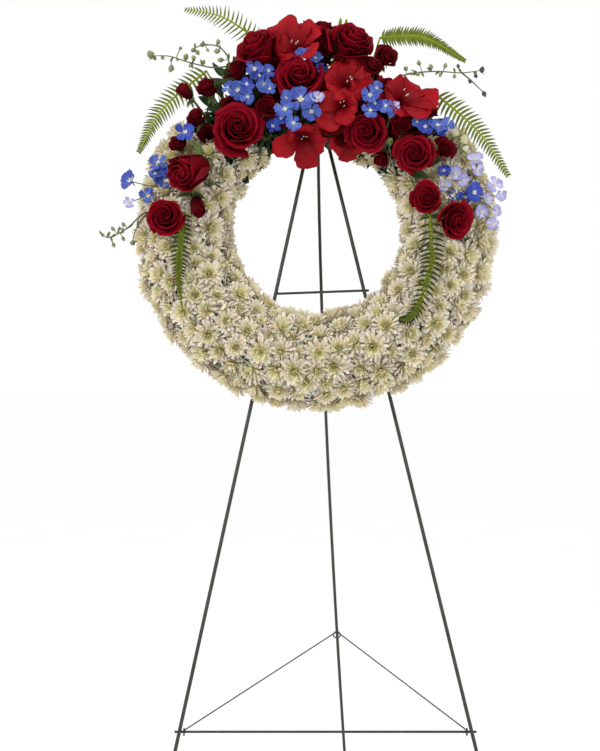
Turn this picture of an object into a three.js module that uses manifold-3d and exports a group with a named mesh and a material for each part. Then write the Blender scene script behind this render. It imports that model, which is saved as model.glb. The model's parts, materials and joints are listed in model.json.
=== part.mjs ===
// A funeral wreath of cut flowers on its folding wire easel.
//
// Millimetres, +Z up, the front faces -Y. Two nested frames carry the pieces:
//   frame group   x to the right, y up along the leaning front legs, z out of the front
//   wreath group  the same axes, with its origin at the middle of the ring's flat back
// A place on the ring is given by its clock angle (degrees clockwise from the top), its tilt
// (0 points straight out of the front, 90 away from the hole, -90 into the hole) and its lift
// above the ring's core circle.

import * as THREE from 'three';
import { mergeVertices } from 'three/addons/utils/BufferGeometryUtils.js';
import Module from 'manifold-3d';

const wasm = await Module();
wasm.setup();

const DEG = Math.PI / 180;
const GAP = 0.3; // between pieces that touch

// Easel: distances along the legs are measured from the floor line of the front frame
const LEAN = 10;
const SPREAD = 24.6; // between the front frame and the back leg
const LEG_R = 2.75;
const BAR_R = 2.1;
const SPREADER_R = 1.3;
const APEX_AT = 1218.5; // where the two front legs would meet
const APEX_X = -11;
const LEG_SLOPE = 0.223;
const LEG_END_AT = 1180;
const HINGE_AT = 1170;
const UPPER_BAR_AT = 881;
const LOWER_BAR_AT = 140;
const BAR_OVERHANG = 8;
const BAR_BACK = -(LEG_R + GAP + BAR_R); // the crossbars lie behind the legs
const LEG_EYE_R = BAR_R + 0.35 + LEG_R;
const BACK_LEG_BOW = 54; // sideways, at the foot
const SPREADER_EYE_R = 6;
const SPREADER_EYE_X = 233;
const SPREADER_TIP_X = 26.5;
const SPREADER_PAST_LEG = 10.5;
const SPREADER_LOOP_R = 6.5;
const TIE_R = 1;
const TIE_SLACK = 1.4; // between a tie and the wire that it goes round
const TIE_DEPTH = 25; // how far the ties reach out of the frame plane
const TIE_AT = 780;
const TOP_TIE_ASIDE = 4.4; // from the middle of the back leg's eye

// Wreath ring
const WREATH_AT = 978;
const WREATH_X = -15;
const WREATH_BACK = LEG_R + 0.35;
const CORE_R = 220;
const CORE_N = 32;
const TRAY_INNER_R = 178;
const TRAY_OUTER_R = 262;
const TRAY_WALL = 3;
const TRAY_DEPTH = 14;
const FOAM_TOP = 62;
const FOAM_CHAMFER = 12;
const COVER_INNER = 46; // cover thickness, measured from the core circle
const COVER_OUTER = 62;
const COVER_REACH = 110; // degrees round the core, to both sides
const RING_SIDES = 30;
const SEGMENT = 36;
const MUM_R = 25;
const MUM_HEIGHT = 23;
const ROOT_LIFT = 20; // depth of the stems' ends in the foam
const STEM_R = 2.2;
const STEM_SIDES = 4;

// Cut flowers: clock, tilt, lift, radius, and how far they face right and up of the outward line
const ROSES = [
  [-41, -11, 108, 47, [-0.05, 0.1]],
  [-7, 10, 112, 41, [0, 0]],
  [-19, 43, 130, 43, [-0.35, 0]],
  [11, 42, 132, 42, [0.1, -0.2]],
  [30, -29, 105, 35, [0, 0.2]],
  [57, -14, 105, 34, [0, 0]],
  [-69, 0, 105, 38, [-0.7, -0.5]],
  [-90, 17, 100, 35, [0.2, -0.1]],
  [80, -20, 100, 31, [0.1, 0]],
  [91, 6, 100, 35, [0.4, -0.4]],
];
const SPRAY_ROSES = [
  [-39, 39, 112, 25, [-0.1, 0.1]],
  [-49, 28, 98, 22, [-0.1, 0.1]],
  [-24, -8, 105, 22, [0.1, 0]],
  [-61, 26, 98, 20, [0, 0]],
  [2, 51, 134, 24, [0, -0.3]],
  [23, 41, 125, 24, [0.1, -0.4]],
  [42, -6, 102, 20, [0, 0.1]],
  [61, 14, 100, 21, [0.2, 0]],
];
const GLADIOLI = [
  [-7, 38, 136, 46, [-0.1, -0.35]],
  [13, 9, 118, 43, [0.1, 0.1]],
  [-8, -47, 110, 44, [0, 0.3]],
  [36, 16, 115, 50, [0.1, 0.1]],
  [13, -13, 124, 36, [0, 0.1]],
];
// Florets sit at (right, up) offsets from the middle of their cluster and have a radius
const DELPHINIUMS = [
  [-24, 19, 112, [[0, 20, 16], [22, 19, 11], [-16, -10, 16], [-38, -16, 16], [13, -8, 14], [-6, -28, 15]]],
  [-10, -17, 124, [[3, 8, 24], [-24, -8, 15], [32, 17, 14], [22, -11, 15], [-8, -25, 14]]],
  [27, 0, 120, [[0, 24, 12], [-12, 6, 14], [14, -2, 13], [-12, -14, 15], [20, -16, 10]]],
  [52, 17, 112, [[-22, -4, 14], [-4, -2, 15], [14, -4, 15]]],
  [-76, 52, 98, [[20, 30, 19], [-22, -2, 18], [0, -26, 16], [26, -8, 16], [-24, -40, 10]]],
  [
    78,
    36,
    102,
    [[-12, 46, 13], [-30, 28, 14], [-6, 28, 11], [-44, 18, 13], [-60, 12, 13], [-52, -12, 13], [-8, -16, 15],
      [-12, -46, 13], [20, 4, 14], [34, -14, 11], [22, -38, 11], [16, -64, 12]],
  ],
];
// Fronds: base, middle and tip in the wreath group, then half width
const FERNS = [
  [[-120, 334, 110], [-162, 353, 118], [-224, 369, 106], 20],
  [[-185, 259, 108], [-259, 190, 110], [-299, 120, 92], 18],
  [[108, 316, 112], [182, 314, 118], [253, 277, 105], 16],
  [[203, 217, 108], [271, 153, 110], [324, 79, 92], 18],
  [[-223, -44, 122], [-226, -90, 125], [-219, -160, 120], 16],
  [[183, -14, 122], [187, -86, 126], [149, -155, 120], 19],
];
const FERN_TEETH = 9;
// Bud sprays: depth, stems through a few points, then buds (x, y, radius), in the wreath group
const BUD_SPRAYS = [
  [
    118,
    [
      [[-146, 264], [-150, 284], [-168, 301], [-195, 299], [-207, 292]],
      [[-146, 264], [-173, 261], [-212, 271], [-246, 281], [-276, 283]],
    ],
    [[-207, 292, 5], [-192, 303, 5], [-165, 306, 5], [-166, 289, 5], [-160, 275, 5], [-279, 286, 6],
      [-258, 280, 4], [-244, 262, 5], [-219, 282, 5], [-206, 276, 4]],
  ],
  [
    122,
    [
      [[140, 232], [146, 246], [176, 253], [208, 254], [244, 252], [277, 256]],
      [[244, 252], [262, 236], [281, 214]],
    ],
    [[279, 257, 4.5], [258, 234, 4.5], [281, 213, 5], [151, 260, 4], [173, 268, 4], [171, 247, 4],
      [193, 261, 4], [208, 246, 4], [217, 263, 4]],
  ],
  [
    97,
    [
      [[-276, 18], [-290, 12], [-312, -8], [-328, -20], [-344, -27], [-354, -24]],
      [[-280, 18], [-294, -2], [-302, -18], [-306, -34]],
    ],
    [[-353, -23, 3], [-338, -14, 4], [-338, -38, 4], [-321, -6, 4], [-322, -28, 4], [-306, -35, 5]],
  ],
];

const X = new THREE.Vector3(1, 0, 0);
const Y = new THREE.Vector3(0, 1, 0);
const Z = new THREE.Vector3(0, 0, 1);

function vec(x, y, z) {
  return new THREE.Vector3(x, y, z);
}

// ---------------------------------------------------------------- solids

function solid(geometry) {
  const bare = geometry.clone();
  bare.deleteAttribute('normal');
  bare.deleteAttribute('uv');
  const merged = mergeVertices(bare, 1e-4);
  const corners = dropSlivers(merged.index.array);
  const mesh = new wasm.Mesh({
    numProp: 3,
    vertProperties: new Float32Array(merged.attributes.position.array),
    triVerts: new Uint32Array(corners),
  });
  return new wasm.Manifold(mesh);
}

// Triangles whose corners fell together when the shared vertices were merged
function dropSlivers(index) {
  const kept = [];
  for (let i = 0; i < index.length; i += 3) {
    const [a, b, c] = [index[i], index[i + 1], index[i + 2]];
    if (a !== b && b !== c && c !== a) kept.push(a, b, c);
  }
  return kept;
}

function geometryOf(body) {
  const mesh = body.getMesh();
  const geometry = new THREE.BufferGeometry();
  geometry.setAttribute('position', new THREE.BufferAttribute(new Float32Array(mesh.vertProperties), 3));
  geometry.setIndex(new THREE.BufferAttribute(new Uint32Array(mesh.triVerts), 1));
  geometry.computeVertexNormals();
  return geometry;
}

function largestBody(body) {
  const bodies = body.decompose();
  return bodies.reduce((best, next) => (next.volume() > best.volume() ? next : best));
}

function join(bodies) {
  return bodies.reduce((all, next) => all.add(next));
}

// Moves every vertex of a geometry; shape(p) changes the point p in place
function warp(geometry, shape) {
  const position = geometry.attributes.position;
  const point = new THREE.Vector3();
  for (let i = 0; i < position.count; i += 1) {
    point.fromBufferAttribute(position, i);
    shape(point);
    position.setXYZ(i, point.x, point.y, point.z);
  }
  return geometry;
}

function rod(from, to, radius, sides = 10) {
  const along = vec(0, 0, 0).subVectors(to, from);
  const geometry = new THREE.CylinderGeometry(radius, radius, along.length(), sides);
  geometry.applyQuaternion(new THREE.Quaternion().setFromUnitVectors(Y, along.clone().normalize()));
  const middle = from.clone().lerp(to, 0.5);
  return geometry.translate(middle.x, middle.y, middle.z);
}

function sweptTube(path, radius, steps, sides) {
  const corners = [];
  for (let i = 0; i < sides; i += 1) {
    const angle = (2 * Math.PI * i) / sides;
    corners.push(new THREE.Vector2(radius * Math.cos(angle), radius * Math.sin(angle)));
  }
  const section = new THREE.Shape(corners);
  return new THREE.ExtrudeGeometry(section, { steps, extrudePath: path, bevelEnabled: false });
}

// Revolves [radius, height] points about the z axis
function turned(points, segments) {
  const profile = points.map(([radius, height]) => new THREE.Vector2(radius, height));
  return new THREE.LatheGeometry(profile, segments).rotateX(Math.PI / 2);
}

// Which corner of a turned ring a point belongs to, counted from the ring's first corner
function cornerOf(point, corners) {
  return Math.round(((Math.atan2(point.y, point.x) / DEG + 90) * corners) / 360);
}

function ringSolid(points, segments) {
  return turned([...points, points[0]], segments);
}

// ---------------------------------------------------------------- materials

function material(color, roughness, metalness = 0) {
  return new THREE.MeshStandardMaterial({ color, roughness, metalness });
}

const WIRE = [0x4b5148, 0.45, 0.7];
const TIE = [0x6f7670, 0.4, 0.8];
const FOAM = [0x3f6a3c, 0.95];
const TRAY = [0x24402c, 0.5];
const MUM = [0xe9e6d2, 0.7];
const GREENERY = [0x3b5a2a, 0.7];
const ROSE = [0x7d0812, 0.55];
const DARK_ROSE = [0x5a050c, 0.55];
const GLADIOLUS = [0xb3121c, 0.5];
const DELPHINIUM = [0x5b74c4, 0.6];
const PALE_DELPHINIUM = [0xa9a6da, 0.6];
const FERN = [0x6b7a2c, 0.6];
const BUD = [0x9fa873, 0.6];

function piece(name, geometry, look) {
  const mesh = new THREE.Mesh(geometry, material(...look));
  mesh.name = name;
  return mesh;
}

// ---------------------------------------------------------------- easel

function legX(side, at) {
  const centre = (APEX_X * (at - LOWER_BAR_AT)) / (APEX_AT - LOWER_BAR_AT);
  return centre + side * LEG_SLOPE * (APEX_AT - at);
}

function onLeg(side, at, n = 0) {
  return vec(legX(side, at), at, n);
}

// The space below the floor, seen from a group
function belowFloor(group, foot) {
  const block = new THREE.BoxGeometry(80, 80, 80);
  const centre = group.localToWorld(foot.clone());
  block.translate(centre.x, centre.y, -40);
  return solid(block.applyMatrix4(group.matrixWorld.clone().invert()));
}

function frontLeg(frame, side) {
  const past = 8;
  const leg = solid(rod(onLeg(side, -past), onLeg(side, LEG_END_AT), LEG_R));
  return geometryOf(leg.subtract(belowFloor(frame, onLeg(side, 0))));
}

function crossbar(at, leftEnd, rightEnd, rise) {
  const left = vec(legX(-1, at) - leftEnd, at - rise / 2, BAR_BACK);
  const right = vec(legX(1, at) + rightEnd, at + rise / 2, BAR_BACK);
  return rod(left, right, BAR_R);
}

function eye(radius, wire, steps, sides) {
  return new THREE.TorusGeometry(radius, wire, sides, steps).rotateY(Math.PI / 2);
}

// A wire that leaves straight down the leg and bows to the right towards its foot
class BowedLeg extends THREE.Curve {
  constructor(length) {
    super();
    this.length = length;
  }

  getPoint(t, target = new THREE.Vector3()) {
    return target.set(BACK_LEG_BOW * t ** 1.5, -LEG_EYE_R - t * (this.length - LEG_EYE_R), 0);
  }
}

function backLeg(group) {
  const hingeHeight = group.localToWorld(vec(0, 0, 0)).z;
  const length = hingeHeight / Math.cos((SPREAD - LEAN) * DEG);
  const wire = solid(sweptTube(new BowedLeg(length + 8), LEG_R, 16, 8));
  const whole = wire.add(solid(eye(LEG_EYE_R, LEG_R, 14, 7)));
  return geometryOf(whole.subtract(belowFloor(group, vec(BACK_LEG_BOW, -length, 0))));
}

// A wire V that lies in its group's xy plane, hooked on the lower crossbar at both ends. The
// back leg passes through the V just in front of its point; a small loop hangs at the point.
function spreaderWire() {
  const reach = (HINGE_AT - LOWER_BAR_AT) * Math.sin(SPREAD * DEG) + SPREADER_PAST_LEG;
  const tip = vec(SPREADER_TIP_X, reach, 0);
  const parts = [];
  for (const side of [-1, 1]) {
    const hook = eye(SPREADER_EYE_R, SPREADER_R, 10, 5).translate(side * SPREADER_EYE_X, 0, 0);
    parts.push(solid(hook));
    parts.push(solid(rod(vec(side * SPREADER_EYE_X, SPREADER_EYE_R, 0), tip, SPREADER_R, 6)));
  }
  const loop = new THREE.TorusGeometry(SPREADER_LOOP_R, SPREADER_R, 5, 12).rotateX(Math.PI / 2);
  parts.push(solid(loop.translate(tip.x, tip.y, -SPREADER_LOOP_R)));
  return geometryOf(join(parts));
}

// A hairpin of wire in its own xy plane: a half circle open towards +y, with two straight legs
class Hairpin extends THREE.Curve {
  constructor(radius, leg) {
    super();
    this.radius = radius;
    this.leg = leg;
  }

  getPoint(t, target = new THREE.Vector3()) {
    const bend = Math.PI * this.radius;
    const along = t * (bend + 2 * this.leg);
    if (along < this.leg) return target.set(-this.radius, this.leg - along, 0);
    if (along > this.leg + bend) return target.set(this.radius, along - this.leg - bend, 0);
    const angle = Math.PI + (along - this.leg) / this.radius;
    return target.set(this.radius * Math.cos(angle), this.radius * Math.sin(angle), 0);
  }
}

function tieWire(radius, leg, matrix, grow = 0) {
  const wire = sweptTube(new Hairpin(radius, leg + grow), TIE_R + grow, 16, 5);
  return solid(wire.applyMatrix4(matrix));
}

// Where the ties stand in the wreath group: name, radius, leg length, matrix
function tiePlaces() {
  const around = LEG_R + TIE_R + TIE_SLACK;
  const upright = new THREE.Matrix4().makeRotationX(Math.PI / 2);
  const places = [];
  for (const [name, side] of [['tie_wire_left', -1], ['tie_wire_right', 1]]) {
    const matrix = new THREE.Matrix4().makeTranslation(onLeg(side, TIE_AT).sub(wreathOrigin()));
    places.push([name, around, TIE_DEPTH, matrix.multiply(upright)]);
  }
  const besideEye = vec(legX(0, HINGE_AT) + TOP_TIE_ASIDE, HINGE_AT, BAR_BACK).sub(wreathOrigin());
  const top = new THREE.Matrix4().makeTranslation(besideEye);
  top.multiply(new THREE.Matrix4().makeBasis(Y, Z, X));
  places.push(['tie_wire_top', BAR_R + TIE_R + TIE_SLACK, TIE_DEPTH - BAR_BACK, top]);
  return places;
}

function wreathOrigin() {
  return vec(WREATH_X, WREATH_AT, WREATH_BACK);
}

// ---------------------------------------------------------------- ring

function radialOf(clock) {
  return vec(Math.sin(clock * DEG), Math.cos(clock * DEG), 0);
}

function outwardOf(clock, tilt) {
  return radialOf(clock).multiplyScalar(Math.sin(tilt * DEG)).addScaledVector(Z, Math.cos(tilt * DEG));
}

function placeOf(clock, tilt, lift) {
  const core = radialOf(clock).multiplyScalar(CORE_R).addScaledVector(Z, CORE_N);
  return core.addScaledVector(outwardOf(clock, tilt), lift);
}

function backingTray(ties) {
  const [inner, outer, wall] = [TRAY_INNER_R, TRAY_OUTER_R, TRAY_WALL];
  const section = [
    [inner, 0],
    [outer, 0],
    [outer, TRAY_DEPTH],
    [outer - wall, TRAY_DEPTH],
    [outer - wall, wall],
    [inner + wall, wall],
    [inner + wall, TRAY_DEPTH],
    [inner, TRAY_DEPTH],
  ];
  return solid(ringSolid(section, RING_SIDES)).subtract(ties);
}

function foamRing(sockets) {
  const inner = TRAY_INNER_R + TRAY_WALL + GAP + 0.2;
  const outer = TRAY_OUTER_R - TRAY_WALL - GAP - 0.2;
  const section = [
    [inner, TRAY_WALL + GAP],
    [outer, TRAY_WALL + GAP],
    [outer, FOAM_TOP - FOAM_CHAMFER],
    [outer - FOAM_CHAMFER, FOAM_TOP],
    [inner + FOAM_CHAMFER, FOAM_TOP],
    [inner, FOAM_TOP - FOAM_CHAMFER],
  ];
  return solid(ringSolid(section, RING_SIDES)).subtract(sockets);
}

// One tenth of the ring, with half a gap kept free at both of its sides
function wedge(clock) {
  const far = 420;
  const half = (SEGMENT / 2) * DEG;
  const outline = new THREE.Shape([
    new THREE.Vector2(0, 0),
    new THREE.Vector2(far * Math.sin(half), far),
    new THREE.Vector2(-far * Math.sin(half), far),
  ]);
  const block = new THREE.ExtrudeGeometry(outline, { depth: 220, bevelEnabled: false });
  block.scale(1 / Math.cos(half), 1, 1).translate(0, GAP / 2 / Math.sin(half), 0);
  return solid(block.rotateZ(-clock * DEG));
}

// The layer that covers the foam, with a face that rises and falls by ripple
function cover(ripple) {
  const steps = 6;
  const points = [];
  for (let i = 0; i <= steps; i += 1) {
    const angle = COVER_REACH * DEG * (1 - (2 * i) / steps);
    points.push([CORE_R + COVER_INNER * Math.sin(angle), CORE_N + COVER_INNER * Math.cos(angle)]);
  }
  for (let i = steps; i >= 0; i -= 1) {
    const angle = COVER_REACH * DEG * (1 - (2 * i) / steps);
    const outer = COVER_OUTER + (i % 2 ? ripple : -ripple);
    points.push([CORE_R + outer * Math.sin(angle), CORE_N + outer * Math.cos(angle)]);
  }
  return ringSolid(points.reverse(), RING_SIDES);
}

// A low dome with ten petal points round its edge
function mum() {
  const dome = turned([[0, -14], [MUM_R, 4], [0, MUM_HEIGHT]], 10);
  return warp(dome, (p) => {
    if (p.z === 4 && cornerOf(p, 10) % 2) p.set(p.x * 0.75, p.y * 0.75, 1);
  });
}

// Chrysanthemum heads over one segment: tilt of the row, lift above the core, heads in the row
const MUM_ROWS = [[-88, 63, 2], [-45, 63, 2], [0, 64, 3], [44, 67, 3], [88, 69, 3]];

function mumsOn(clock) {
  const heads = [];
  for (const [tilt, lift, count] of MUM_ROWS) {
    for (let i = 0; i < count; i += 1) {
      const at = clock + SEGMENT * ((i + 0.5) / count - 0.5);
      const geometry = mum();
      geometry.applyQuaternion(new THREE.Quaternion().setFromUnitVectors(Z, outwardOf(at, tilt)));
      const centre = placeOf(at, tilt, lift);
      heads.push(solid(geometry.translate(centre.x, centre.y, centre.z)));
    }
  }
  return join(heads);
}

function segments(taken) {
  const plain = solid(cover(0));
  const leafy = solid(cover(4));
  const meshes = [];
  for (let i = 0; i < 360 / SEGMENT; i += 1) {
    const clock = i * SEGMENT;
    const isTop = Math.cos(clock * DEG) > 0.7;
    const whole = isTop ? leafy : plain.add(mumsOn(clock));
    const body = largestBody(whole.intersect(wedge(clock)).subtract(taken));
    const name = isTop ? 'greenery_bed' : 'chrysanthemums';
    meshes.push(piece(`${name}_${clock}`, geometryOf(body), isTop ? GREENERY : MUM));
  }
  return meshes;
}

// ---------------------------------------------------------------- flower heads
// Each head looks along +z from its middle. It comes with a hull, a little larger than the
// head, that its neighbours keep out of.

function scaled(points, radius, grow = 0) {
  return points.map(([r, z]) => [r ? r * radius + grow : 0, z * radius + Math.sign(z) * grow]);
}

function rose(radius) {
  const rings = [
    [0, -0.8],
    [0.45, -0.7],
    [0.88, -0.3],
    [1, 0.14],
    [0.76, 0],
    [0.68, 0.36],
    [0.46, 0.16],
    [0.36, 0.48],
    [0, 0.28],
  ];
  const head = warp(turned(scaled(rings, radius), 12), (p) => {
    const lobes = 1 + 0.05 * Math.cos(4 * Math.atan2(p.y, p.x) + p.z * 0.2);
    p.set(p.x * lobes, p.y * lobes, p.z);
  });
  const outline = [[0, -0.8], [0.55, -0.8], [1.12, -0.25], [1.12, 0.2], [0.55, 0.58], [0, 0.58]];
  return [head, turned(scaled(outline, radius, GAP * 2), 12)];
}

function sprayRose(radius) {
  const rings = [[0, -1], [0.6, -0.75], [0.95, 0], [0.7, 0.1], [0.62, 0.5], [0, 0.3]];
  const head = turned(scaled(rings, radius), 9);
  const outline = [[0, -1], [0.7, -0.8], [1.1, 0], [0.75, 0.6], [0, 0.6]];
  return [head, turned(scaled(outline, radius, GAP * 2), 9)];
}

// Six petals that open from a funnel; every second corner of the rim is the gap of two petals
function gladiolus(radius) {
  const rings = [[0, -0.9], [0.18, -0.8], [0.4, -0.35], [1, 0.1], [0.5, 0], [0.18, -0.4], [0, -0.45]];
  const head = warp(turned(scaled(rings, radius), 12), (p) => {
    const rim = Math.hypot(p.x, p.y) > 0.9 * radius;
    if (rim && cornerOf(p, 12) % 2) p.set(p.x * 0.62, p.y * 0.62, radius * 0.06);
  });
  const outline = [[0, -0.95], [0.28, -0.9], [0.55, -0.35], [1.1, 0.02], [1.1, 0.2], [0, 0.2]];
  return [head, turned(scaled(outline, radius, GAP * 2), 12)];
}

// Small stars of five petals, each on a stalk from the foot of the cluster
function delphinium(florets) {
  const foot = vec(0, 0, -34);
  const parts = [];
  const hulls = [];
  for (const [right, up, radius] of florets) {
    const middle = vec(right, up, -0.1 * Math.hypot(right, up));
    const facing = vec(right * 0.012, up * 0.012, 1).normalize();
    const turn = new THREE.Quaternion().setFromUnitVectors(Z, facing);
    const star = turned([[0, -3], [radius, 2], [0, 1]], 10);
    warp(star, (p) => {
      if (Math.hypot(p.x, p.y) > 1 && cornerOf(p, 10) % 2) p.set(p.x * 0.5, p.y * 0.5, 1);
    });
    const disc = new THREE.CylinderGeometry(radius + 1, radius + 1, 7, 10).rotateX(Math.PI / 2);
    for (const [shape, list] of [[star, parts], [disc, hulls]]) {
      list.push(solid(shape.applyQuaternion(turn).translate(middle.x, middle.y, middle.z)));
    }
    parts.push(solid(rod(foot, middle, 1.4, 3)));
    hulls.push(solid(rod(foot, middle, 3.4, 4)));
  }
  return [join(parts), join(hulls)];
}

// A flat frond, widest past its base, with toothed edges that stand for its leaflets
function frond(base, middle, tip, halfWidth, toothed, grow) {
  const path = new THREE.CatmullRomCurve3([vec(...base), vec(...middle), vec(...tip)]);
  const rings = 2 * FERN_TEETH;
  const blade = new THREE.CylinderGeometry(1, 1, 1, 4, rings);
  return warp(blade, (p) => {
    const t = THREE.MathUtils.clamp(0.5 + p.y, 0, 1);
    const tooth = Math.round(t * rings) % 2;
    const width = halfWidth * (0.35 + 0.65 * Math.sin(Math.PI * t ** 0.7)) * (1 - 0.6 * t ** 4);
    const reach = (toothed && !tooth ? 0.35 : 1) * width + grow;
    const across = vec(0, 0, 0).crossVectors(path.getTangent(t), Z).normalize();
    const [side, lift] = [p.x * reach, p.z * (1.2 + grow)];
    p.copy(path.getPoint(t)).addScaledVector(across, side).addScaledVector(Z, lift);
  });
}

// Thin bent stems with small buds, each on a stalk from the nearest point of a stem
function budSpray([depth, stems, buds], grow) {
  const parts = [];
  const along = [];
  for (const points of stems) {
    const path = new THREE.CatmullRomCurve3(points.map(([x, y]) => vec(x, y, depth)));
    parts.push(solid(sweptTube(path, 1.4 + grow, 3 * points.length, 3)));
    along.push(...path.getSpacedPoints(24));
  }
  for (const [x, y, radius] of buds) {
    const place = vec(x, y, depth);
    const start = along.reduce((a, b) => (a.distanceTo(place) < b.distanceTo(place) ? a : b));
    parts.push(solid(new THREE.OctahedronGeometry(radius + grow * 1.8, 0).translate(x, y, depth)));
    if (start.distanceTo(place) > radius) parts.push(solid(rod(start, place, 1.1 + grow, 3)));
  }
  return join(parts);
}

// ---------------------------------------------------------------- arranging

// A stem from the foam to the middle of its head, in the wreath group
function stem(root, middle, grow = 0) {
  return solid(rod(root, middle, STEM_R + grow, STEM_SIDES));
}

function asSolid(shape) {
  return shape instanceof THREE.BufferGeometry ? solid(shape) : shape;
}

// A flower: its node, the matrix that places it, its head, hull and stem in the wreath group
function flower(name, look, shapes, [clock, tilt, lift], face = [0, 0]) {
  const middle = placeOf(clock, tilt, lift);
  const facing = outwardOf(clock, tilt).addScaledVector(X, face[0]).addScaledVector(Y, face[1]);
  const turn = new THREE.Quaternion().setFromUnitVectors(Z, facing.normalize());
  const matrix = new THREE.Matrix4().compose(middle, turn, vec(1, 1, 1));
  const [head, hull] = shapes.map((shape) => asSolid(shape).transform(matrix.elements));
  const root = placeOf(clock, tilt, ROOT_LIFT);
  const [own, sleeve] = [stem(root, middle), stem(root, middle, GAP * 2)];
  return { name, look, matrix, head, hull, stem: own, sleeve };
}

// A frond or bud spray, which starts at its base; its stem stands upright under the base
function trailing(name, look, head, hull, base) {
  const start = vec(...base);
  const clock = Math.atan2(start.x, start.y) / DEG;
  const tilt = Math.atan2(Math.hypot(start.x, start.y) - CORE_R, start.z - CORE_N) / DEG;
  const root = placeOf(clock, tilt, ROOT_LIFT);
  const matrix = new THREE.Matrix4().makeTranslation(start);
  const [own, sleeve] = [stem(root, start), stem(root, start, GAP * 2)];
  return { name, look, matrix, head: asSolid(head), hull: asSolid(hull), stem: own, sleeve };
}

function allFlowers() {
  const list = [];
  ROSES.forEach(([clock, tilt, lift, radius, face], i) => {
    list.push(flower(`rose_${i + 1}`, ROSE, rose(radius), [clock, tilt, lift], face));
  });
  GLADIOLI.forEach(([clock, tilt, lift, radius, face], i) => {
    list.push(flower(`gladiolus_${i + 1}`, GLADIOLUS, gladiolus(radius), [clock, tilt, lift], face));
  });
  SPRAY_ROSES.forEach(([clock, tilt, lift, radius, face], i) => {
    list.push(flower(`spray_rose_${i + 1}`, DARK_ROSE, sprayRose(radius), [clock, tilt, lift], face));
  });
  DELPHINIUMS.forEach(([clock, tilt, lift, florets], i) => {
    const look = i === DELPHINIUMS.length - 1 ? PALE_DELPHINIUM : DELPHINIUM;
    list.push(flower(`delphinium_${i + 1}`, look, delphinium(florets), [clock, tilt, lift]));
  });
  FERNS.forEach(([base, middle, tip, width], i) => {
    const head = frond(base, middle, tip, width, true, 0);
    const hull = frond(base, middle, tip, width, false, GAP * 3);
    list.push(trailing(`fern_${i + 1}`, FERN, head, hull, base));
  });
  BUD_SPRAYS.forEach((spray, i) => {
    const [depth, stems] = spray;
    const base = [...stems[0][0], depth];
    list.push(trailing(`bud_spray_${i + 1}`, BUD, budSpray(spray, 0), budSpray(spray, GAP * 2), base));
  });
  return list;
}

// Each head keeps clear of all other stems and of the heads named before it
function arrange(list) {
  const meshes = [];
  list.forEach((one, i) => {
    let head = one.head;
    list.forEach((other, j) => {
      if (j === i) return;
      head = head.subtract(j < i ? other.sleeve.add(other.hull) : other.sleeve);
    });
    const body = largestBody(head).add(one.stem);
    if (body.decompose().length > 1) throw new Error(`${one.name} has come off its stem`);
    const home = body.transform(one.matrix.clone().invert().elements);
    const mesh = piece(one.name, geometryOf(home), one.look);
    one.matrix.decompose(mesh.position, mesh.quaternion, mesh.scale);
    meshes.push(mesh);
  });
  return meshes;
}

function buildWreath() {
  const group = new THREE.Group();
  group.position.copy(wreathOrigin());
  const flowers = allFlowers();
  const sleeves = join(flowers.map((one) => one.sleeve));
  const taken = sleeves.add(join(flowers.map((one) => one.hull)));
  const tieHoles = [];
  for (const [name, radius, leg, matrix] of tiePlaces()) {
    group.add(piece(name, geometryOf(tieWire(radius, leg, matrix)), TIE));
    tieHoles.push(tieWire(radius, leg, matrix, GAP));
  }
  const holes = join(tieHoles);
  group.add(piece('backing_tray', geometryOf(backingTray(holes)), TRAY));
  group.add(piece('foam_ring', geometryOf(foamRing(sleeves.add(holes))), FOAM));
  group.add(...segments(taken));
  group.add(...arrange(flowers));
  return group;
}

function buildEasel() {
  const frame = new THREE.Group();
  frame.rotation.x = (90 - LEAN) * DEG;
  frame.updateMatrixWorld();
  frame.add(piece('front_leg_left', frontLeg(frame, -1), WIRE));
  frame.add(piece('front_leg_right', frontLeg(frame, 1), WIRE));
  frame.add(piece('lower_crossbar', crossbar(LOWER_BAR_AT, BAR_OVERHANG, BAR_OVERHANG, 0), WIRE));
  frame.add(piece('upper_crossbar', crossbar(UPPER_BAR_AT, 3, BAR_OVERHANG, 6), WIRE));
  frame.add(piece('hinge_pin', crossbar(HINGE_AT, 4, 4, 0), WIRE));

  const back = new THREE.Group();
  back.position.set(legX(0, HINGE_AT), HINGE_AT, BAR_BACK);
  back.rotation.x = SPREAD * DEG;
  frame.add(back);
  frame.updateMatrixWorld();
  back.add(piece('back_leg', backLeg(back), WIRE));

  const spreader = new THREE.Group();
  spreader.position.set(0, LOWER_BAR_AT, BAR_BACK);
  spreader.rotation.x = (SPREAD - 90) * DEG;
  spreader.add(piece('spreader_wire', spreaderWire(), WIRE));
  frame.add(spreader);
  frame.add(buildWreath());
  return frame;
}

// The origin is the middle of the part's bounding box, on the floor
const part = new THREE.Group();
const easel = buildEasel();
part.add(easel);
part.updateMatrixWorld();
const box = new THREE.Box3().setFromObject(part, true);
easel.position.set(-(box.min.x + box.max.x) / 2, -(box.min.y + box.max.y) / 2, -box.min.z);
part.updateMatrixWorld();

export default part;
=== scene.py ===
"""A funeral wreath of cut flowers on a wire easel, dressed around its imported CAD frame.

Lengths are millimetres until a piece is placed, then metres. Three sets of axes are used:
  frame axes    x to the right, up along the leaning front legs, out of the wreath's face
  wreath axes   the same directions, from the middle of the ring's flat back
  flower axes   z is where the flower looks, its middle is the origin
A place on the ring is a clock angle (degrees clockwise from the top), a tilt (0 straight out of
the face, 90 away from the hole, -90 into the hole) and a lift above the ring's core circle.
"""
import json
import math

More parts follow.
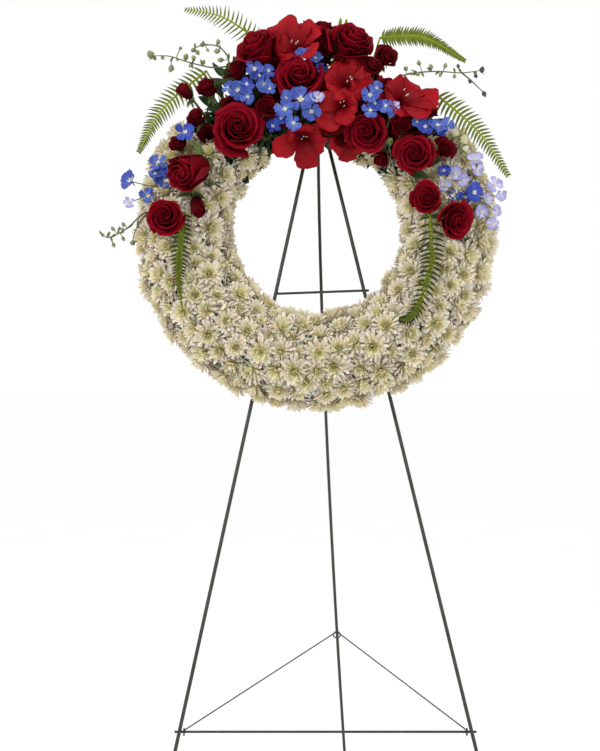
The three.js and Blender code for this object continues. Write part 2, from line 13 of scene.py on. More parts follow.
import bpy
import numpy as np
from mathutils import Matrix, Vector


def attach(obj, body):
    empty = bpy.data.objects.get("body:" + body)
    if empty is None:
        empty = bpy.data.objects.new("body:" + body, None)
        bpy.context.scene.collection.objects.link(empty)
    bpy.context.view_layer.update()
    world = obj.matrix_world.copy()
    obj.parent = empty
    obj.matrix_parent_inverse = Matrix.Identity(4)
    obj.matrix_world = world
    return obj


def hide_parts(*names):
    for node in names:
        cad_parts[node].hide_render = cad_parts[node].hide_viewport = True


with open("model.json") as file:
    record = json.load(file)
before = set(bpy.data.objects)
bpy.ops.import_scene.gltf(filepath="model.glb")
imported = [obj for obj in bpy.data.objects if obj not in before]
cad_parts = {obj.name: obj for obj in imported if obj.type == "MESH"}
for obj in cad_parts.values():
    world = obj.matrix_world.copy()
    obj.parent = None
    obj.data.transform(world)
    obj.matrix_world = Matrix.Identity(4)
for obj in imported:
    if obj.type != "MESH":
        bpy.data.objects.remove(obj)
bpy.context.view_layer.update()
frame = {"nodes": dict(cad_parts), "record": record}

MM = 0.001
MAIN_BODY = "easel_frame"

# ---------------------------------------------------------------- frame of the easel

LOWER_BAR_AT = 140  # distances up the front legs, from the floor
UPPER_BAR_AT = 881
WREATH_AT = 978
HINGE_AT = 1170
LEG_END_AT = 1180
APEX_AT = 1218.5  # where the legs' lines would meet
APEX_X = -11
LEG_SLOPE = 0.223
LEG_R = 3.1
BAR_R = 2.1
BAR_OUT = -5.15
WELD_R = 2.6
WREATH_X = -15
WREATH_OUT = 3.1
CORE_R = 220
CORE_OUT = 32
ROOT_LIFT = 20
X_AXIS = np.array([1.0, 0.0, 0.0])
Z_AXIS = np.array([0.0, 0.0, 1.0])


def joint_position(name):
    """A joint's place in millimetres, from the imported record."""
    joints = frame["record"]["behaviour"]["joints"]
    return np.array([j["pos_m"] for j in joints if j["name"] == name][0]) / MM


BAR = joint_position("spreader_fold")
HINGE = joint_position("back_leg_fold")
UP = (HINGE - BAR) * [0, 1, 1]
UP = UP / np.linalg.norm(UP)
OUT = np.array([0.0, -UP[2], UP[1]])
FRAME_AXES = np.array([X_AXIS, UP, OUT])


def on_frame(x, up, out=0.0):
    """A point given in frame axes, in the part's own axes."""
    return BAR + np.array([x, up - LOWER_BAR_AT, out - BAR_OUT]) @ FRAME_AXES


def on_wreath(point):
    """Points given in wreath axes, in the part's own axes."""
    return on_frame(WREATH_X, WREATH_AT, WREATH_OUT) + np.asarray(point) @ FRAME_AXES


def as_given(points):
    return points


def radial(clock):
    angle = math.radians(clock)
    return np.array([math.sin(angle), math.cos(angle), 0.0])


def outward(clock, tilt):
    angle = math.radians(tilt)
    return radial(clock) * math.sin(angle) + Z_AXIS * math.cos(angle)


def ring_place(clock, tilt, lift):
    return radial(clock) * CORE_R + Z_AXIS * CORE_OUT + outward(clock, tilt) * lift


def unit(vector):
    return vector / np.linalg.norm(vector)


def axes_towards(facing, roll=0.0):
    """Rotation rows for a flower that looks along facing; roll turns it about that line."""
    z = unit(np.asarray(facing, float))
    x = unit(np.cross([0.0, 1.0, 0.0], z) if abs(z[1]) < 0.95 else np.cross([0.0, 0.0, 1.0], z))
    y = np.cross(z, x)
    c, s = math.cos(roll), math.sin(roll)
    return np.array([c * x + s * y, c * y - s * x, z])


def leaning(axes, rise):
    """Rotation rows of a blade that leans out of a flower's plane by rise."""
    lean = unit(axes[0] + axes[2] * rise)
    return np.array([lean, axes[1], unit(np.cross(lean, axes[1]))])


# ---------------------------------------------------------------- mesh building

ANY_TURN = 6.28  # a turn is drawn from 0 to this, in radians


def row_steps(count, low=0.0):
    """Even values from low to 1, along a row of a grid."""
    return np.linspace(low, 1, count)[None, :]


def column_steps(count, low=0.0):
    return np.linspace(low, 1, count)[:, None]


def around(count):
    """Even angles of a full turn, down a column of a grid."""
    return np.linspace(0, 2 * math.pi, count, endpoint=False)[:, None]


def stacked(first, second, third):
    """Three numbers a vertex, such as its place or its shade, over the grid that they share."""
    return np.stack(np.broadcast_arrays(first, second, third), axis=-1)


def swung(along, across, height, angle):
    """Points drawn along x and across it, swung about z by an angle."""
    cos, sin = np.cos(angle), np.sin(angle)
    return stacked(along * cos - across * sin, along * sin + across * cos, height)


def add_object(name, data):
    made = bpy.data.objects.new(name, data)
    bpy.context.scene.collection.objects.link(made)
    return made


class Form:
    """Faces of one piece. Each vertex has a shade: along the petal, across it, and random."""

    def __init__(self):
        self.points = []
        self.shades = []
        self.faces = []
        self.slots = []
        self.count = 0

    def quads(self, corners, slot):
        quads = corners.reshape(-1, 4)
        self.faces.append(quads)
        self.slots.append(np.full(len(quads), slot))

    def grids(self, points, shades, slot, closed=False):
        """Many grids at once: points are (how many, rows, columns, 3); closed joins last row to first."""
        many, rows, columns = points.shape[:3]
        self.points.append(points.reshape(-1, 3))
        self.shades.append(shades.reshape(-1, 3))
        index = self.count + np.arange(many * rows * columns).reshape(many, rows, columns)
        self.count += index.size
        below = np.concatenate([index, index[:, :1]], axis=1) if closed else index
        quad = [below[:, :-1, :-1], below[:, 1:, :-1], below[:, 1:, 1:], below[:, :-1, 1:]]
        self.quads(np.stack(quad, axis=-1), slot)
        return index

    def grid(self, points, shades, slot, closed=False):
        return self.grids(points[None], shades[None], slot, closed)[0]

    def thick(self, points, shades, slot, thickness):
        """One grid with a front, a back and closed edges."""
        normal = np.cross(np.gradient(points, axis=0), np.gradient(points, axis=1))
        normal /= np.maximum(np.linalg.norm(normal, axis=-1, keepdims=True), 1e-9)
        both = np.concatenate([points, (points - normal * thickness)[::-1]])
        index = self.grid(both, np.concatenate([shades, shades[::-1]]), slot, True)
        front, rear = index[:len(points)], index[len(points):][::-1]
        for column, flip in ((0, 1), (-1, -1)):
            a, b = front[:, column], rear[:, column]
            self.quads(np.stack([a[:-1], b[:-1], b[1:], a[1:]][::flip], axis=-1), slot)

    def blade(self, blade, axes, place, random, slot):
        """A blade from leaf_grid, turned by rotation rows and moved."""
        self.grid(blade @ axes + place, blade_shade(blade, random), slot)

    def add(self, other, axes, origin, scale=1.0):
        """Another form, turned by rotation rows and moved."""
        for faces, slots in zip(other.faces, other.slots):
            self.faces.append(faces + self.count)
            self.slots.append(slots)
        for points, shades in zip(other.points, other.shades):
            self.points.append(points * scale @ axes + origin)
            self.shades.append(shades)
        self.count += other.count

    def repaint(self, old, new):
        """Gives the faces of one material slot to another."""
        self.slots = [np.where(slots == old, new, slots) for slots in self.slots]

    def piece(self, name, materials, to_part=on_wreath):
        """The finished object, in metres, in the part's own axes."""
        mesh = bpy.data.meshes.new(name)
        points = to_part(np.concatenate(self.points)) * MM
        faces = np.concatenate(self.faces)
        mesh.from_pydata(points.tolist(), [], faces.tolist())
        for look in materials:
            mesh.materials.append(look)
        mesh.polygons.foreach_set("material_index", np.concatenate(self.slots).astype(np.int32))
        mesh.polygons.foreach_set("use_smooth", np.ones(len(faces), bool))
        shade = mesh.attributes.new("shade", "FLOAT_COLOR", "POINT")
        shades = np.concatenate(self.shades)
        colours = np.concatenate([shades, np.ones((len(shades), 1))], axis=1)
        shade.data.foreach_set("color", colours.astype(np.float32).ravel())
        mesh.validate()
        mesh.update()
        return add_object(name, mesh)


def register(piece, slot, *nodes):
    """The body that the piece rides on and the CAD solids that it stands for; slot is not used."""
    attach(piece, MAIN_BODY)
    if nodes:
        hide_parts(*nodes)


def spline(points, count):
    """Catmull-Rom through a few points."""
    pts = np.asarray(points, float)
    pts = np.vstack([2 * pts[0] - pts[1], pts, 2 * pts[-1] - pts[-2]])
    spans = len(pts) - 3
    places = []
    for value in np.linspace(0, spans, count):
        i = min(int(value), spans - 1)
        t = value - i
        a, b, c, d = pts[i:i + 4]
        curve = 2 * b + (c - a) * t + (2 * a - 5 * b + 4 * c - d) * t * t
        places.append((curve + (3 * b - a - 3 * c + d) * t ** 3) / 2)
    return np.array(places)


def directions(path):
    """The unit tangent at each point of a path."""
    tangents = np.gradient(path, axis=0)
    return tangents / np.linalg.norm(tangents, axis=1, keepdims=True)


def tube(form, path, radii, slot=0, sides=8, random=0.5):
    """A round tube along a path with closed, slightly domed ends."""
    path = np.asarray(path, float)
    radii = np.broadcast_to(np.asarray(radii, float), (len(path),))
    tangents = directions(path)
    dome = 0.35
    path = np.vstack([path[0] - tangents[0] * radii[0] * dome, path])
    path = np.vstack([path, path[-1] + tangents[-1] * radii[-1] * dome])
    radii = np.concatenate([[radii[0] * 0.02], radii, [radii[-1] * 0.02]])
    tangents = np.vstack([tangents[0], tangents, tangents[-1]])
    side = np.cross(tangents[0], [0.31, 0.2, 0.93])
    angles = around(sides)
    rings = []
    for point, tangent, radius in zip(path, tangents, radii):
        side = unit(side - tangent * np.dot(side, tangent))
        rings.append(point + radius * (np.cos(angles) * side + np.sin(angles) * np.cross(tangent, side)))
    shade = stacked(row_steps(len(path)), np.zeros((sides, 1)), random)
    form.grid(np.array(rings).transpose(1, 0, 2), shade, slot, True)


# ---------------------------------------------------------------- materials


class Graph:
    """Short names for building one material's nodes."""

    def __init__(self, name):
        self.material = bpy.data.materials.new(name)
        self.material.use_nodes = True
        self.tree = self.material.node_tree
        self.shader = self.tree.nodes["Principled BSDF"]

    def feed(self, node, inputs):
        """Links outputs to a node's inputs, or sets their numbers, vectors and colours."""
        for key, value in inputs.items():
            socket = node.inputs[key]
            if isinstance(value, bpy.types.NodeSocket):
                self.tree.links.new(value, socket)
            elif isinstance(value, tuple):
                socket.default_value = (*value, 1)[:len(socket.default_value)]
            else:
                socket.default_value = value

    def node(self, kind, inputs, **settings):
        node = self.tree.nodes.new(kind)
        for key, value in settings.items():
            setattr(node, key, value)
        self.feed(node, inputs)
        return node

    def finish(self, inputs):
        """Feeds the shader and returns the material."""
        self.feed(self.shader, inputs)
        return self.material

    def shades(self):
        """The along, across and random channels that the mesh carries."""
        attribute = self.node("ShaderNodeAttribute", {}, attribute_name="shade")
        split = self.node("ShaderNodeSeparateColor", {"Color": attribute.outputs["Color"]})
        return split.outputs["Red"], split.outputs["Green"], split.outputs["Blue"]

    def ramp(self, factor, stops):
        ramp = self.node("ShaderNodeValToRGB", {"Fac": factor})
        elements = ramp.color_ramp.elements
        while len(elements) < len(stops):
            elements.new(0.5)
        for element, (place, colour) in zip(elements, stops):
            element.position = place
            element.color = (*colour, 1)
        return ramp.outputs["Color"]

    def mix(self, factor, first, second):
        return self.node("ShaderNodeMix", {0: factor, 6: first, 7: second}, data_type="RGBA").outputs[2]

    def noise(self, scale, detail=3):
        place = self.node("ShaderNodeTexCoord", {}).outputs["Object"]
        inputs = {"Scale": scale, "Detail": detail, "Roughness": 0.55, "Vector": place}
        return self.node("ShaderNodeTexNoise", inputs).outputs["Fac"]

    def math(self, operation, first, second=0.5, clamp=False):
        inputs = {0: first, 1: second}
        return self.node("ShaderNodeMath", inputs, operation=operation, use_clamp=clamp).outputs[0]

    def bump(self, height, strength, distance):
        inputs = {"Strength": strength, "Distance": distance, "Height": height}
        return self.node("ShaderNodeBump", inputs).outputs["Normal"]

    def spread(self, value, low, high):
        """Maps 0..1 to low..high."""
        inputs = {"To Min": low, "To Max": high, "Value": value}
        return self.node("ShaderNodeMapRange", inputs).outputs["Result"]


def petal(name, roughness, specular, veins, vein_depth, stops, light, dark, glow=0.0):
    """A petal: coloured from its base to its rim, lighter and darker in patches, finely veined."""
    graph = Graph(name)
    along, across, random = graph.shades()
    base = graph.ramp(along, stops)
    tinted = graph.mix(graph.spread(graph.noise(60.0, 4), -0.25, 0.75), base, light)
    patched = graph.mix(0.35, base, tinted)
    shadowed = graph.mix(graph.spread(random, 0.0, 0.45), patched, dark)
    ribs = graph.math("SINE", graph.math("MULTIPLY", across, veins * math.pi))
    fine = graph.noise(420.0, 2)
    lines = graph.math("MULTIPLY", graph.math("ADD", ribs, fine), 0.5)
    veined = graph.mix(graph.math("MULTIPLY", lines, vein_depth * 0.6, clamp=True), shadowed, dark)
    if glow:
        graph.finish({"Subsurface Weight": glow, "Subsurface Radius": (0.004, 0.002, 0.001),
                      "Subsurface Scale": 1.0})
    return graph.finish({"Base Color": veined, "Specular IOR Level": specular,
                         "Roughness": graph.spread(fine, roughness - 0.08, roughness + 0.08),
                         "Normal": graph.bump(lines, vein_depth, 0.0004)})


def painted_wire():
    graph = Graph("painted_wire")
    wear = graph.noise(90.0, 5)
    paint = graph.ramp(wear, [
        (0.35, (0.019, 0.022, 0.015)), (0.62, (0.034, 0.038, 0.028)), (0.80, (0.062, 0.067, 0.053))])
    return graph.finish({"Base Color": paint, "Roughness": graph.spread(wear, 0.28, 0.5), "Metallic": 0.35,
                         "Coat Weight": 0.12, "Coat Roughness": 0.25,
                         "Normal": graph.bump(graph.noise(650.0, 2), 0.12, 0.0003)})


def bare_wire():
    graph = Graph("tie_wire")
    tarnish = graph.noise(160.0, 4)
    colour = graph.ramp(tarnish, [(0.3, (0.25, 0.26, 0.25)), (0.7, (0.45, 0.46, 0.44))])
    return graph.finish({"Base Color": colour, "Roughness": graph.spread(tarnish, 0.25, 0.5),
                         "Metallic": 0.9})


def moulded_plastic():
    graph = Graph("tray_plastic")
    grain = graph.noise(900.0)
    colour = graph.ramp(graph.noise(14.0), [(0.3, (0.012, 0.035, 0.017)), (0.7, (0.022, 0.055, 0.028))])
    return graph.finish({"Base Color": colour, "Roughness": graph.spread(grain, 0.42, 0.6),
                         "Normal": graph.bump(grain, 0.15, 0.0003)})


def wet_foam():
    graph = Graph("floral_foam")
    pores = graph.noise(1100.0, 4)
    colour = graph.ramp(graph.noise(25.0, 4), [(0.3, (0.035, 0.085, 0.032)), (0.7, (0.065, 0.14, 0.05))])
    pitted = graph.mix(graph.spread(pores, -0.6, 1.0), colour, (0.015, 0.035, 0.013))
    return graph.finish({"Base Color": pitted, "Roughness": 0.95,
                         "Normal": graph.bump(pores, 0.6, 0.0008)})


def floor_material():
    graph = Graph("studio_floor")
    cloud = graph.ramp(graph.noise(3.0, 2), [(0.3, (0.975, 0.975, 0.975)), (0.7, (0.99, 0.99, 0.99))])
    return graph.finish({"Base Color": cloud, "Roughness": 0.9, "Specular IOR Level": 0.1})


WIRE = painted_wire()
TIE = bare_wire()
TRAY = moulded_plastic()
FOAM = wet_foam()
# roughness, specular, veins across, their depth, colours from base to rim, light and dark patches, glow
# The rose ramp paints shade into the petals' bases, deep in the flower, and a painted highlight along their
# rims.
ROSE = petal("rose_petal", 0.65, 0.05, 11, 0.2, [
    (0.0, (0.05, 0.0002, 0.0012)), (0.6, (0.135, 0.0006, 0.0045)), (0.9, (0.19, 0.0012, 0.008)),
    (1.0, (0.26, 0.0025, 0.014))], (0.23, 0.002, 0.011), (0.055, 0.0002, 0.0014))
# The same painted shade at the bases and painted highlight at the rims, in a darker red.
DARK_ROSE = petal("dark_rose_petal", 0.65, 0.05, 9, 0.2, [
    (0.0, (0.02, 0.0001, 0.0006)), (0.7, (0.065, 0.0003, 0.002)), (1.0, (0.14, 0.0010, 0.006))],
    (0.11, 0.0008, 0.005), (0.022, 0.0001, 0.0006))
GLADIOLUS = petal("gladiolus_petal", 0.5, 0.1, 15, 0.35, [
    (0.0, (0.03, 0.0003, 0.002)), (0.3, (0.13, 0.0008, 0.004)), (0.7, (0.27, 0.0018, 0.007)),
    (1.0, (0.37, 0.0040, 0.010))], (0.44, 0.008, 0.012), (0.11, 0.0005, 0.003))
DELPHINIUM = petal("delphinium_petal", 0.5, 0.15, 11, 0.35, [
    (0.0, (0.60, 0.65, 0.84)), (0.22, (0.13, 0.20, 0.54)), (0.7, (0.055, 0.095, 0.40)),
    (1.0, (0.10, 0.165, 0.52))], (0.27, 0.35, 0.72), (0.008, 0.014, 0.20))
PALE_DELPHINIUM = petal("pale_delphinium_petal", 0.5, 0.25, 11, 0.35, [
    (0.0, (0.80, 0.80, 0.80)), (0.35, (0.60, 0.59, 0.74)), (1.0, (0.32, 0.30, 0.64))], (0.74, 0.73, 0.82),
    (0.11, 0.10, 0.44))
DEEP_BLUE = petal("deep_delphinium_petal", 0.5, 0.25, 11, 0.35, [
    (0.0, (0.40, 0.46, 0.78)), (0.2, (0.05, 0.09, 0.50)), (0.7, (0.020, 0.038, 0.32)),
    (1.0, (0.04, 0.075, 0.48))], (0.14, 0.22, 0.68), (0.005, 0.007, 0.13))
BEE = petal("floret_heart", 0.6, 0.3, 5, 0.2, [
    (0.0, (0.50, 0.48, 0.30)), (1.0, (0.80, 0.80, 0.76))], (0.86, 0.86, 0.82), (0.4, 0.4, 0.3))
MUM = petal("mum_petal", 0.7, 0.15, 4, 0.12, [
    (0.0, (0.60, 0.58, 0.09)), (0.3, (0.78, 0.72, 0.44)), (0.6, (0.82, 0.742, 0.62)),
    (1.0, (0.84, 0.768, 0.68))], (0.87, 0.80, 0.73), (0.75, 0.675, 0.54), 0.3)
MUM_HEART = petal("mum_heart", 0.7, 0.3, 6, 0.5, [
    (0.0, (0.30, 0.35, 0.03)), (1.0, (0.66, 0.66, 0.16))], (0.70, 0.68, 0.24), (0.20, 0.23, 0.03))
LEAF = petal("dark_leaf", 0.42, 0.3, 12, 0.5, [
    (0.0, (0.018, 0.040, 0.008)), (1.0, (0.030, 0.066, 0.012))], (0.055, 0.105, 0.026),
    (0.006, 0.016, 0.003))
STEM = petal("green_stem", 0.5, 0.3, 3, 0.3, [
    (0.0, (0.06, 0.09, 0.015)), (1.0, (0.16, 0.19, 0.05))], (0.24, 0.27, 0.09), (0.03, 0.05, 0.01))
FERN = petal("fern_leaf", 0.45, 0.2, 6, 0.4, [
    (0.0, (0.22, 0.26, 0.006)), (0.25, (0.13, 0.17, 0.006)), (1.0, (0.085, 0.115, 0.008))],
    (0.21, 0.26, 0.012), (0.03, 0.05, 0.004))
# Painted shade: the fern colour made darker for the hanging fronds.
SHADED_FERN = petal("shaded_fern_leaf", 0.5, 0.1, 6, 0.4, [
    (0.0, (0.10, 0.14, 0.004)), (0.34, (0.035, 0.055, 0.005)), (0.6, (0.016, 0.027, 0.006)),
    (1.0, (0.010, 0.018, 0.005))], (0.04, 0.06, 0.009), (0.006, 0.011, 0.003))
FERN_RIB = petal("fern_midrib", 0.45, 0.2, 2, 0.2, [
    (0.0, (0.17, 0.21, 0.004)), (1.0, (0.30, 0.36, 0.008))], (0.36, 0.42, 0.02), (0.10, 0.14, 0.004))
FOLDED_FERN = petal("folded_fern_leaf", 0.5, 0.15, 5, 0.7, [
    (0.0, (0.03, 0.045, 0.002)), (0.5, (0.11, 0.14, 0.003)), (1.0, (0.18, 0.21, 0.004))],
    (0.22, 0.26, 0.006), (0.03, 0.04, 0.002))
BUD = petal("bud_green", 0.5, 0.3, 5, 0.3, [
    (0.0, (0.12, 0.15, 0.045)), (0.6, (0.26, 0.28, 0.13)), (1.0, (0.36, 0.35, 0.24))], (0.40, 0.40, 0.22),
    (0.06, 0.08, 0.02))
CREAM_BUD = petal("cream_bud", 0.5, 0.3, 5, 0.3, [
    (0.0, (0.42, 0.44, 0.20)), (0.5, (0.66, 0.64, 0.42)), (1.0, (0.62, 0.58, 0.56))], (0.74, 0.72, 0.56),
    (0.30, 0.30, 0.14))
PURPLE_BUD = petal("purple_bud", 0.5, 0.3, 5, 0.3, [
    (0.0, (0.05, 0.07, 0.02)), (1.0, (0.05, 0.03, 0.09))], (0.12, 0.08, 0.20), (0.015, 0.01, 0.03))


# ---------------------------------------------------------------- flowers

GOLDEN = math.radians(137.5)  # the angle from one petal of a rose to the next
ROSE_THICKNESS = 0.5


def rose_petal(radius, age, start, opening, rng, grid):
    """One petal as a grid: it rises from the calyx, cups the heart and rolls its rim outwards."""
    columns, rows = grid
    u = np.linspace(-1, 1, columns)[:, None]
    v = row_steps(rows)
    side = np.abs(u)
    span = math.radians(235 - 132 * age ** 0.6)
    uneven = 0.05 + 0.09 * age ** 2
    rim_r = (0.05 + 0.80 * age ** 0.95) * (0.5 + 0.5 * opening) * rng.uniform(1 - uneven, 1 + uneven)
    rim_z = 0.52 - (0.50 * age ** 2.0) * opening + 0.22 * (1 - opening) + rng.uniform(-0.04, 0.04)
    curl = (0.10 + 1.35 * age ** 1.2) * (0.35 + 0.65 * opening) * rng.uniform(0.75, 1.25)
    angle = start + u * span / 2 * (0.38 + 0.62 * np.sqrt(v)) * (1 - 0.16 * v ** 6)
    belly = 0.12 * (1 - 0.7 * opening) * np.sin(math.pi * v)
    r = 0.10 + (rim_r - 0.10) * v ** 0.6 + belly
    point = np.exp(-(u / 0.18) ** 2) * age * rng.uniform(0.4, 2.6)
    crown = rim_z - (0.13 + 0.12 * age) * side ** 2.6 + 0.05 * point
    z = -0.72 + (crown + 0.72) * v ** 1.1
    roll = np.clip((v - 0.70) / 0.30, 0, 1) ** 1.8
    r = r + curl * roll * (0.12 + 0.03 * point) + 0.06 * u * v
    z = z - curl * roll * 0.085
    phase = rng.uniform(0, ANY_TURN, 3)
    wave = 0.5 + 1.5 * age
    r = r + 0.016 * wave * (np.sin(3.4 * u + phase[0]) + 0.5 * np.sin(8 * u + phase[1])) * v ** 2.5
    z = z + 0.018 * wave * np.sin(4.3 * u + phase[2]) * v ** 2.5
    return swung(r, 0, z, angle) * radius, stacked(v, (u + 1) / 2, rng.uniform(0, 1))


def rose(radius, opening, rng, petals=26, grid=(13, 11), thickness=ROSE_THICKNESS):
    form = Form()
    turn = rng.uniform(0, ANY_TURN)
    for i in range(petals):
        start = turn + i * GOLDEN + rng.uniform(-0.15, 0.15)
        points, shade = rose_petal(radius, i / (petals - 1), start, opening, rng, grid)
        if thickness:
            form.thick(points, shade, 0, thickness)
        else:
            form.grid(points, shade, 0)
    sepals(form, radius, rng)
    return form


def small_rose(radius, opening, rng, petals=18, thickness=ROSE_THICKNESS):
    return rose(radius, opening, rng, petals, (9, 8), thickness)


def sepals(form, radius, rng):
    """The green cup under a rose and its five pointed sepals."""
    heights = np.array([-0.95, -0.9, -0.8, -0.7, -0.6])[None, :]
    widths = np.array([0.02, 0.14, 0.2, 0.19, 0.13])[None, :]
    angles = around(12)
    shade = stacked(row_steps(5), 0 * angles, 0.5)
    form.grid(swung(widths, 0, heights, angles) * radius, shade, 1, True)
    for i in range(5):
        turn = 2 * math.pi * i / 5 + rng.uniform(-0.2, 0.2)
        blade = leaf_grid(0.8 * radius, 0.13 * radius, -0.9, 4, 7)
        axes = axes_towards([math.cos(turn) * 0.7, math.sin(turn) * 0.7, 0.6])
        tilt = np.array([-axes[1], axes[0], axes[2]])
        form.blade(blade, tilt, np.array([0, 0, -0.74 * radius]), 0.5, 1)


def leaf_grid(length, half_width, bend, rows, columns, strap=False):
    """A pointed blade along +x, its rib at y=0; bend lifts or drops its tip; a strap starts broad."""
    t = row_steps(columns)
    s = column_steps(rows, -1)
    outline = np.sin(math.pi * np.clip(t, 0.02, 0.995) ** 0.8) ** 0.8
    if strap:
        outline = (1 - 0.97 * t ** 2.4) * (0.75 + 0.25 * np.clip(t / 0.2, 0, 1))
    y = s * half_width * outline
    return stacked(length * t, y, bend * length * 0.35 * t ** 2 + 0.25 * np.abs(y))


def blade_shade(blade, random):
    rows, columns = blade.shape[:2]
    return stacked(row_steps(columns), column_steps(rows), random)


def petal_profile(v):
    """Half width of a petal that is broadest near its rounded end, 1 at most."""
    return 1.5 * v ** 0.8 * np.clip(1 - v ** 5, 0, 1) ** 0.6


def gladiolus(radius, petals, rng):
    """Ruffled petals (direction in degrees, reach) that open from a funnel, and three stamens."""
    form = Form()
    depth = 0.8
    v = row_steps(19, 0.01)
    u = column_steps(15, -1)
    for i, (direction, reach) in enumerate(petals):
        outer = i % 2
        half = (0.24 + 0.22 * reach) * rng.uniform(0.9, 1.1) * petal_profile(v)
        recurve = rng.uniform(0.10, 0.45)
        r = (0.04 + 0.96 * v ** 1.35) * reach
        z = -depth + (depth + 0.10) * v ** 0.7 - recurve * np.clip((v - 0.6) / 0.4, 0, 1) ** 2 - 0.08 * outer
        phase = rng.uniform(0, ANY_TURN, 4)
        left = np.sin(15 * v + phase[0]) + 0.5 * np.sin(27 * v + phase[1])
        right = np.sin(13 * v + phase[2]) + 0.5 * np.sin(25 * v + phase[3])
        ruffle = np.where(u < 0, left, right) * np.abs(u) ** 1.4 * v ** 1.1
        crease = np.exp(-(u / 0.10) ** 2) * v * (1 - v)
        z = z + 0.45 * half * u ** 2 * (1.2 - v) + 0.08 * ruffle - 0.16 * crease
        across = u * half * (1 + 0.10 * ruffle)
        along = r + 0.03 * ruffle + 0.05 * np.exp(-(u / 0.2) ** 2) * v ** 4
        points = swung(along, across, z, math.radians(direction)) * radius
        form.thick(points, stacked(v, (u + 1) / 2, rng.uniform(0, 1)), 0, 0.5)
    for i in range(3):
        lean = rng.uniform(0, ANY_TURN)
        tip = np.array([0.12 * math.cos(lean), 0.12 * math.sin(lean), -0.1]) * radius
        foot = np.array([0, 0, -depth * radius])
        tube(form, spline([foot, (foot + tip) / 2, tip], 6), 0.5, 0, 6)
        tube(form, [tip, tip + np.array([0.03, 0.03, 0.08]) * radius], [0.9, 0.6], 2, 6)
    throat = -depth * radius * Z_AXIS
    tube(form, [throat * 1.25, throat * 0.9], [3.2, 3.0], 1)
    return form


def floret(radius, rng):
    """A delphinium floret: five broad petals, a small pale heart and a spur behind."""
    form = Form()
    turn = rng.uniform(0, ANY_TURN)
    v = row_steps(9, 0.01)
    u = column_steps(9, -1)
    for i in range(5):
        start = turn + i * 2 * math.pi / 5 + rng.uniform(-0.2, 0.2)
        across = u * 0.44 * rng.uniform(0.8, 1.15) * petal_profile(v)
        lift = rng.uniform(-0.1, 0.75)
        phase = rng.uniform(0, ANY_TURN, 2)
        along = 0.08 + (0.92 * v + 0.10 * v ** 5 * np.exp(-(u / 0.35) ** 2)) * rng.uniform(0.82, 1.1)
        z = lift * along ** 1.3 - 0.22 * (v - 0.5) ** 2 + 0.45 * across ** 2
        z = z + 0.05 * np.sin(5 * u + phase[0]) * v ** 2 + 0.04 * np.sin(9 * v + phase[1]) * u
        shade = stacked(v, (u + 1) / 2, rng.uniform(0, 1))
        form.thick(swung(along, across, z, start) * radius, shade, 0, 0.35)
    for i in range(4):
        start = turn + 0.4 + i * math.pi / 2
        cos, sin = math.cos(start), math.sin(start)
        rows = np.array([[cos, sin, 0.5], [-sin, cos, 0], [0, 0, 1]])
        form.blade(leaf_grid(0.26 * radius, 0.10 * radius, 1.6, 4, 5), rows, 0, 0.3, 2)
    spur = spline([[0, 0, 0], [0, 0.1, -0.4], [0.1, 0.35, -0.9]], 6) * radius
    tube(form, spur, np.linspace(2.0, 0.5, 6), 0, 7, 0.6)
    return form


MUM_LAYERS = [
    # petals, length, pitch at the foot, pitch at the tip, half width, base radius, base height
    (17, 1.00, -14, -2, 0.092, 0.10, 0.02),
    (17, 0.98, 6, 14, 0.090, 0.10, 0.08),
    (16, 0.92, 22, 30, 0.088, 0.09, 0.13),
    (15, 0.82, 38, 48, 0.084, 0.08, 0.17),
    (13, 0.68, 52, 66, 0.080, 0.07, 0.20),
    (10, 0.50, 66, 84, 0.074, 0.05, 0.22),
]
WHORL_YELLOW = 0.16  # how much further towards its base colour each inner whorl starts


def mum(rng, layers):
    """A chrysanthemum head: whorls of narrow spoon-tipped petals over a yellow-green heart."""
    form = Form()
    v = np.array([0, 0.42, 0.84, 1.0])
    wide = np.array([0.55, 0.9, 1.08, 0.5])
    side = np.array([-1, 0, 1])[None, :, None]
    for rank, (count, length, foot, tip, half, base, height) in enumerate(layers):
        turn = rng.uniform(0, ANY_TURN) + 2 * math.pi * np.arange(count) / count
        turn = turn + rng.uniform(-0.14, 0.14, count)
        lengths = length * rng.uniform(0.84, 1.08, count)[:, None] * (1 - base)
        pitch = np.radians(foot + (tip - foot) * v)[None, :] + rng.uniform(-0.2, 0.2, count)[:, None]
        step = np.diff(v, prepend=0)[None, :] * lengths
        along = base + np.cumsum(step * np.cos(pitch), axis=1)
        rise = height + np.cumsum(step * np.sin(pitch), axis=1)
        width = half * wide[None, None, :] * rng.uniform(0.85, 1.2, count)[:, None, None]
        y = side * width
        cup = (np.abs(side) - 0.5) * width * 0.5 + rng.uniform(-0.4, 0.4, count)[:, None, None] * y
        z = rise[:, None, :] + cup * np.cos(pitch)[:, None, :]
        x = along[:, None, :] - cup * np.sin(pitch)[:, None, :]
        random = rng.uniform(0, 1, count)[:, None, None]
        shade = stacked(v[None, None, :] * (1 - WHORL_YELLOW * rank), (side + 1) / 2, random)
        form.grids(swung(x, y, z, turn[:, None, None]), shade, 0)
    heart(form, rng)
    return form


def heart(form, rng):
    """A knobbly dome in the middle of a head."""
    angles = around(11)
    t = row_steps(5)
    r = 0.14 * np.cos(t * math.pi / 2) + 0.004
    z = 0.12 + 0.20 * np.sin(t * math.pi / 2) + 0.02 * rng.uniform(-1, 1, (11, 5))
    shade = stacked(1 - t, angles / 6.3, rng.uniform(0, 1, (11, 5)))
    form.grid(swung(r, 0, z, angles), shade, 1, True)


# ---------------------------------------------------------------- the ring of chrysanthemums

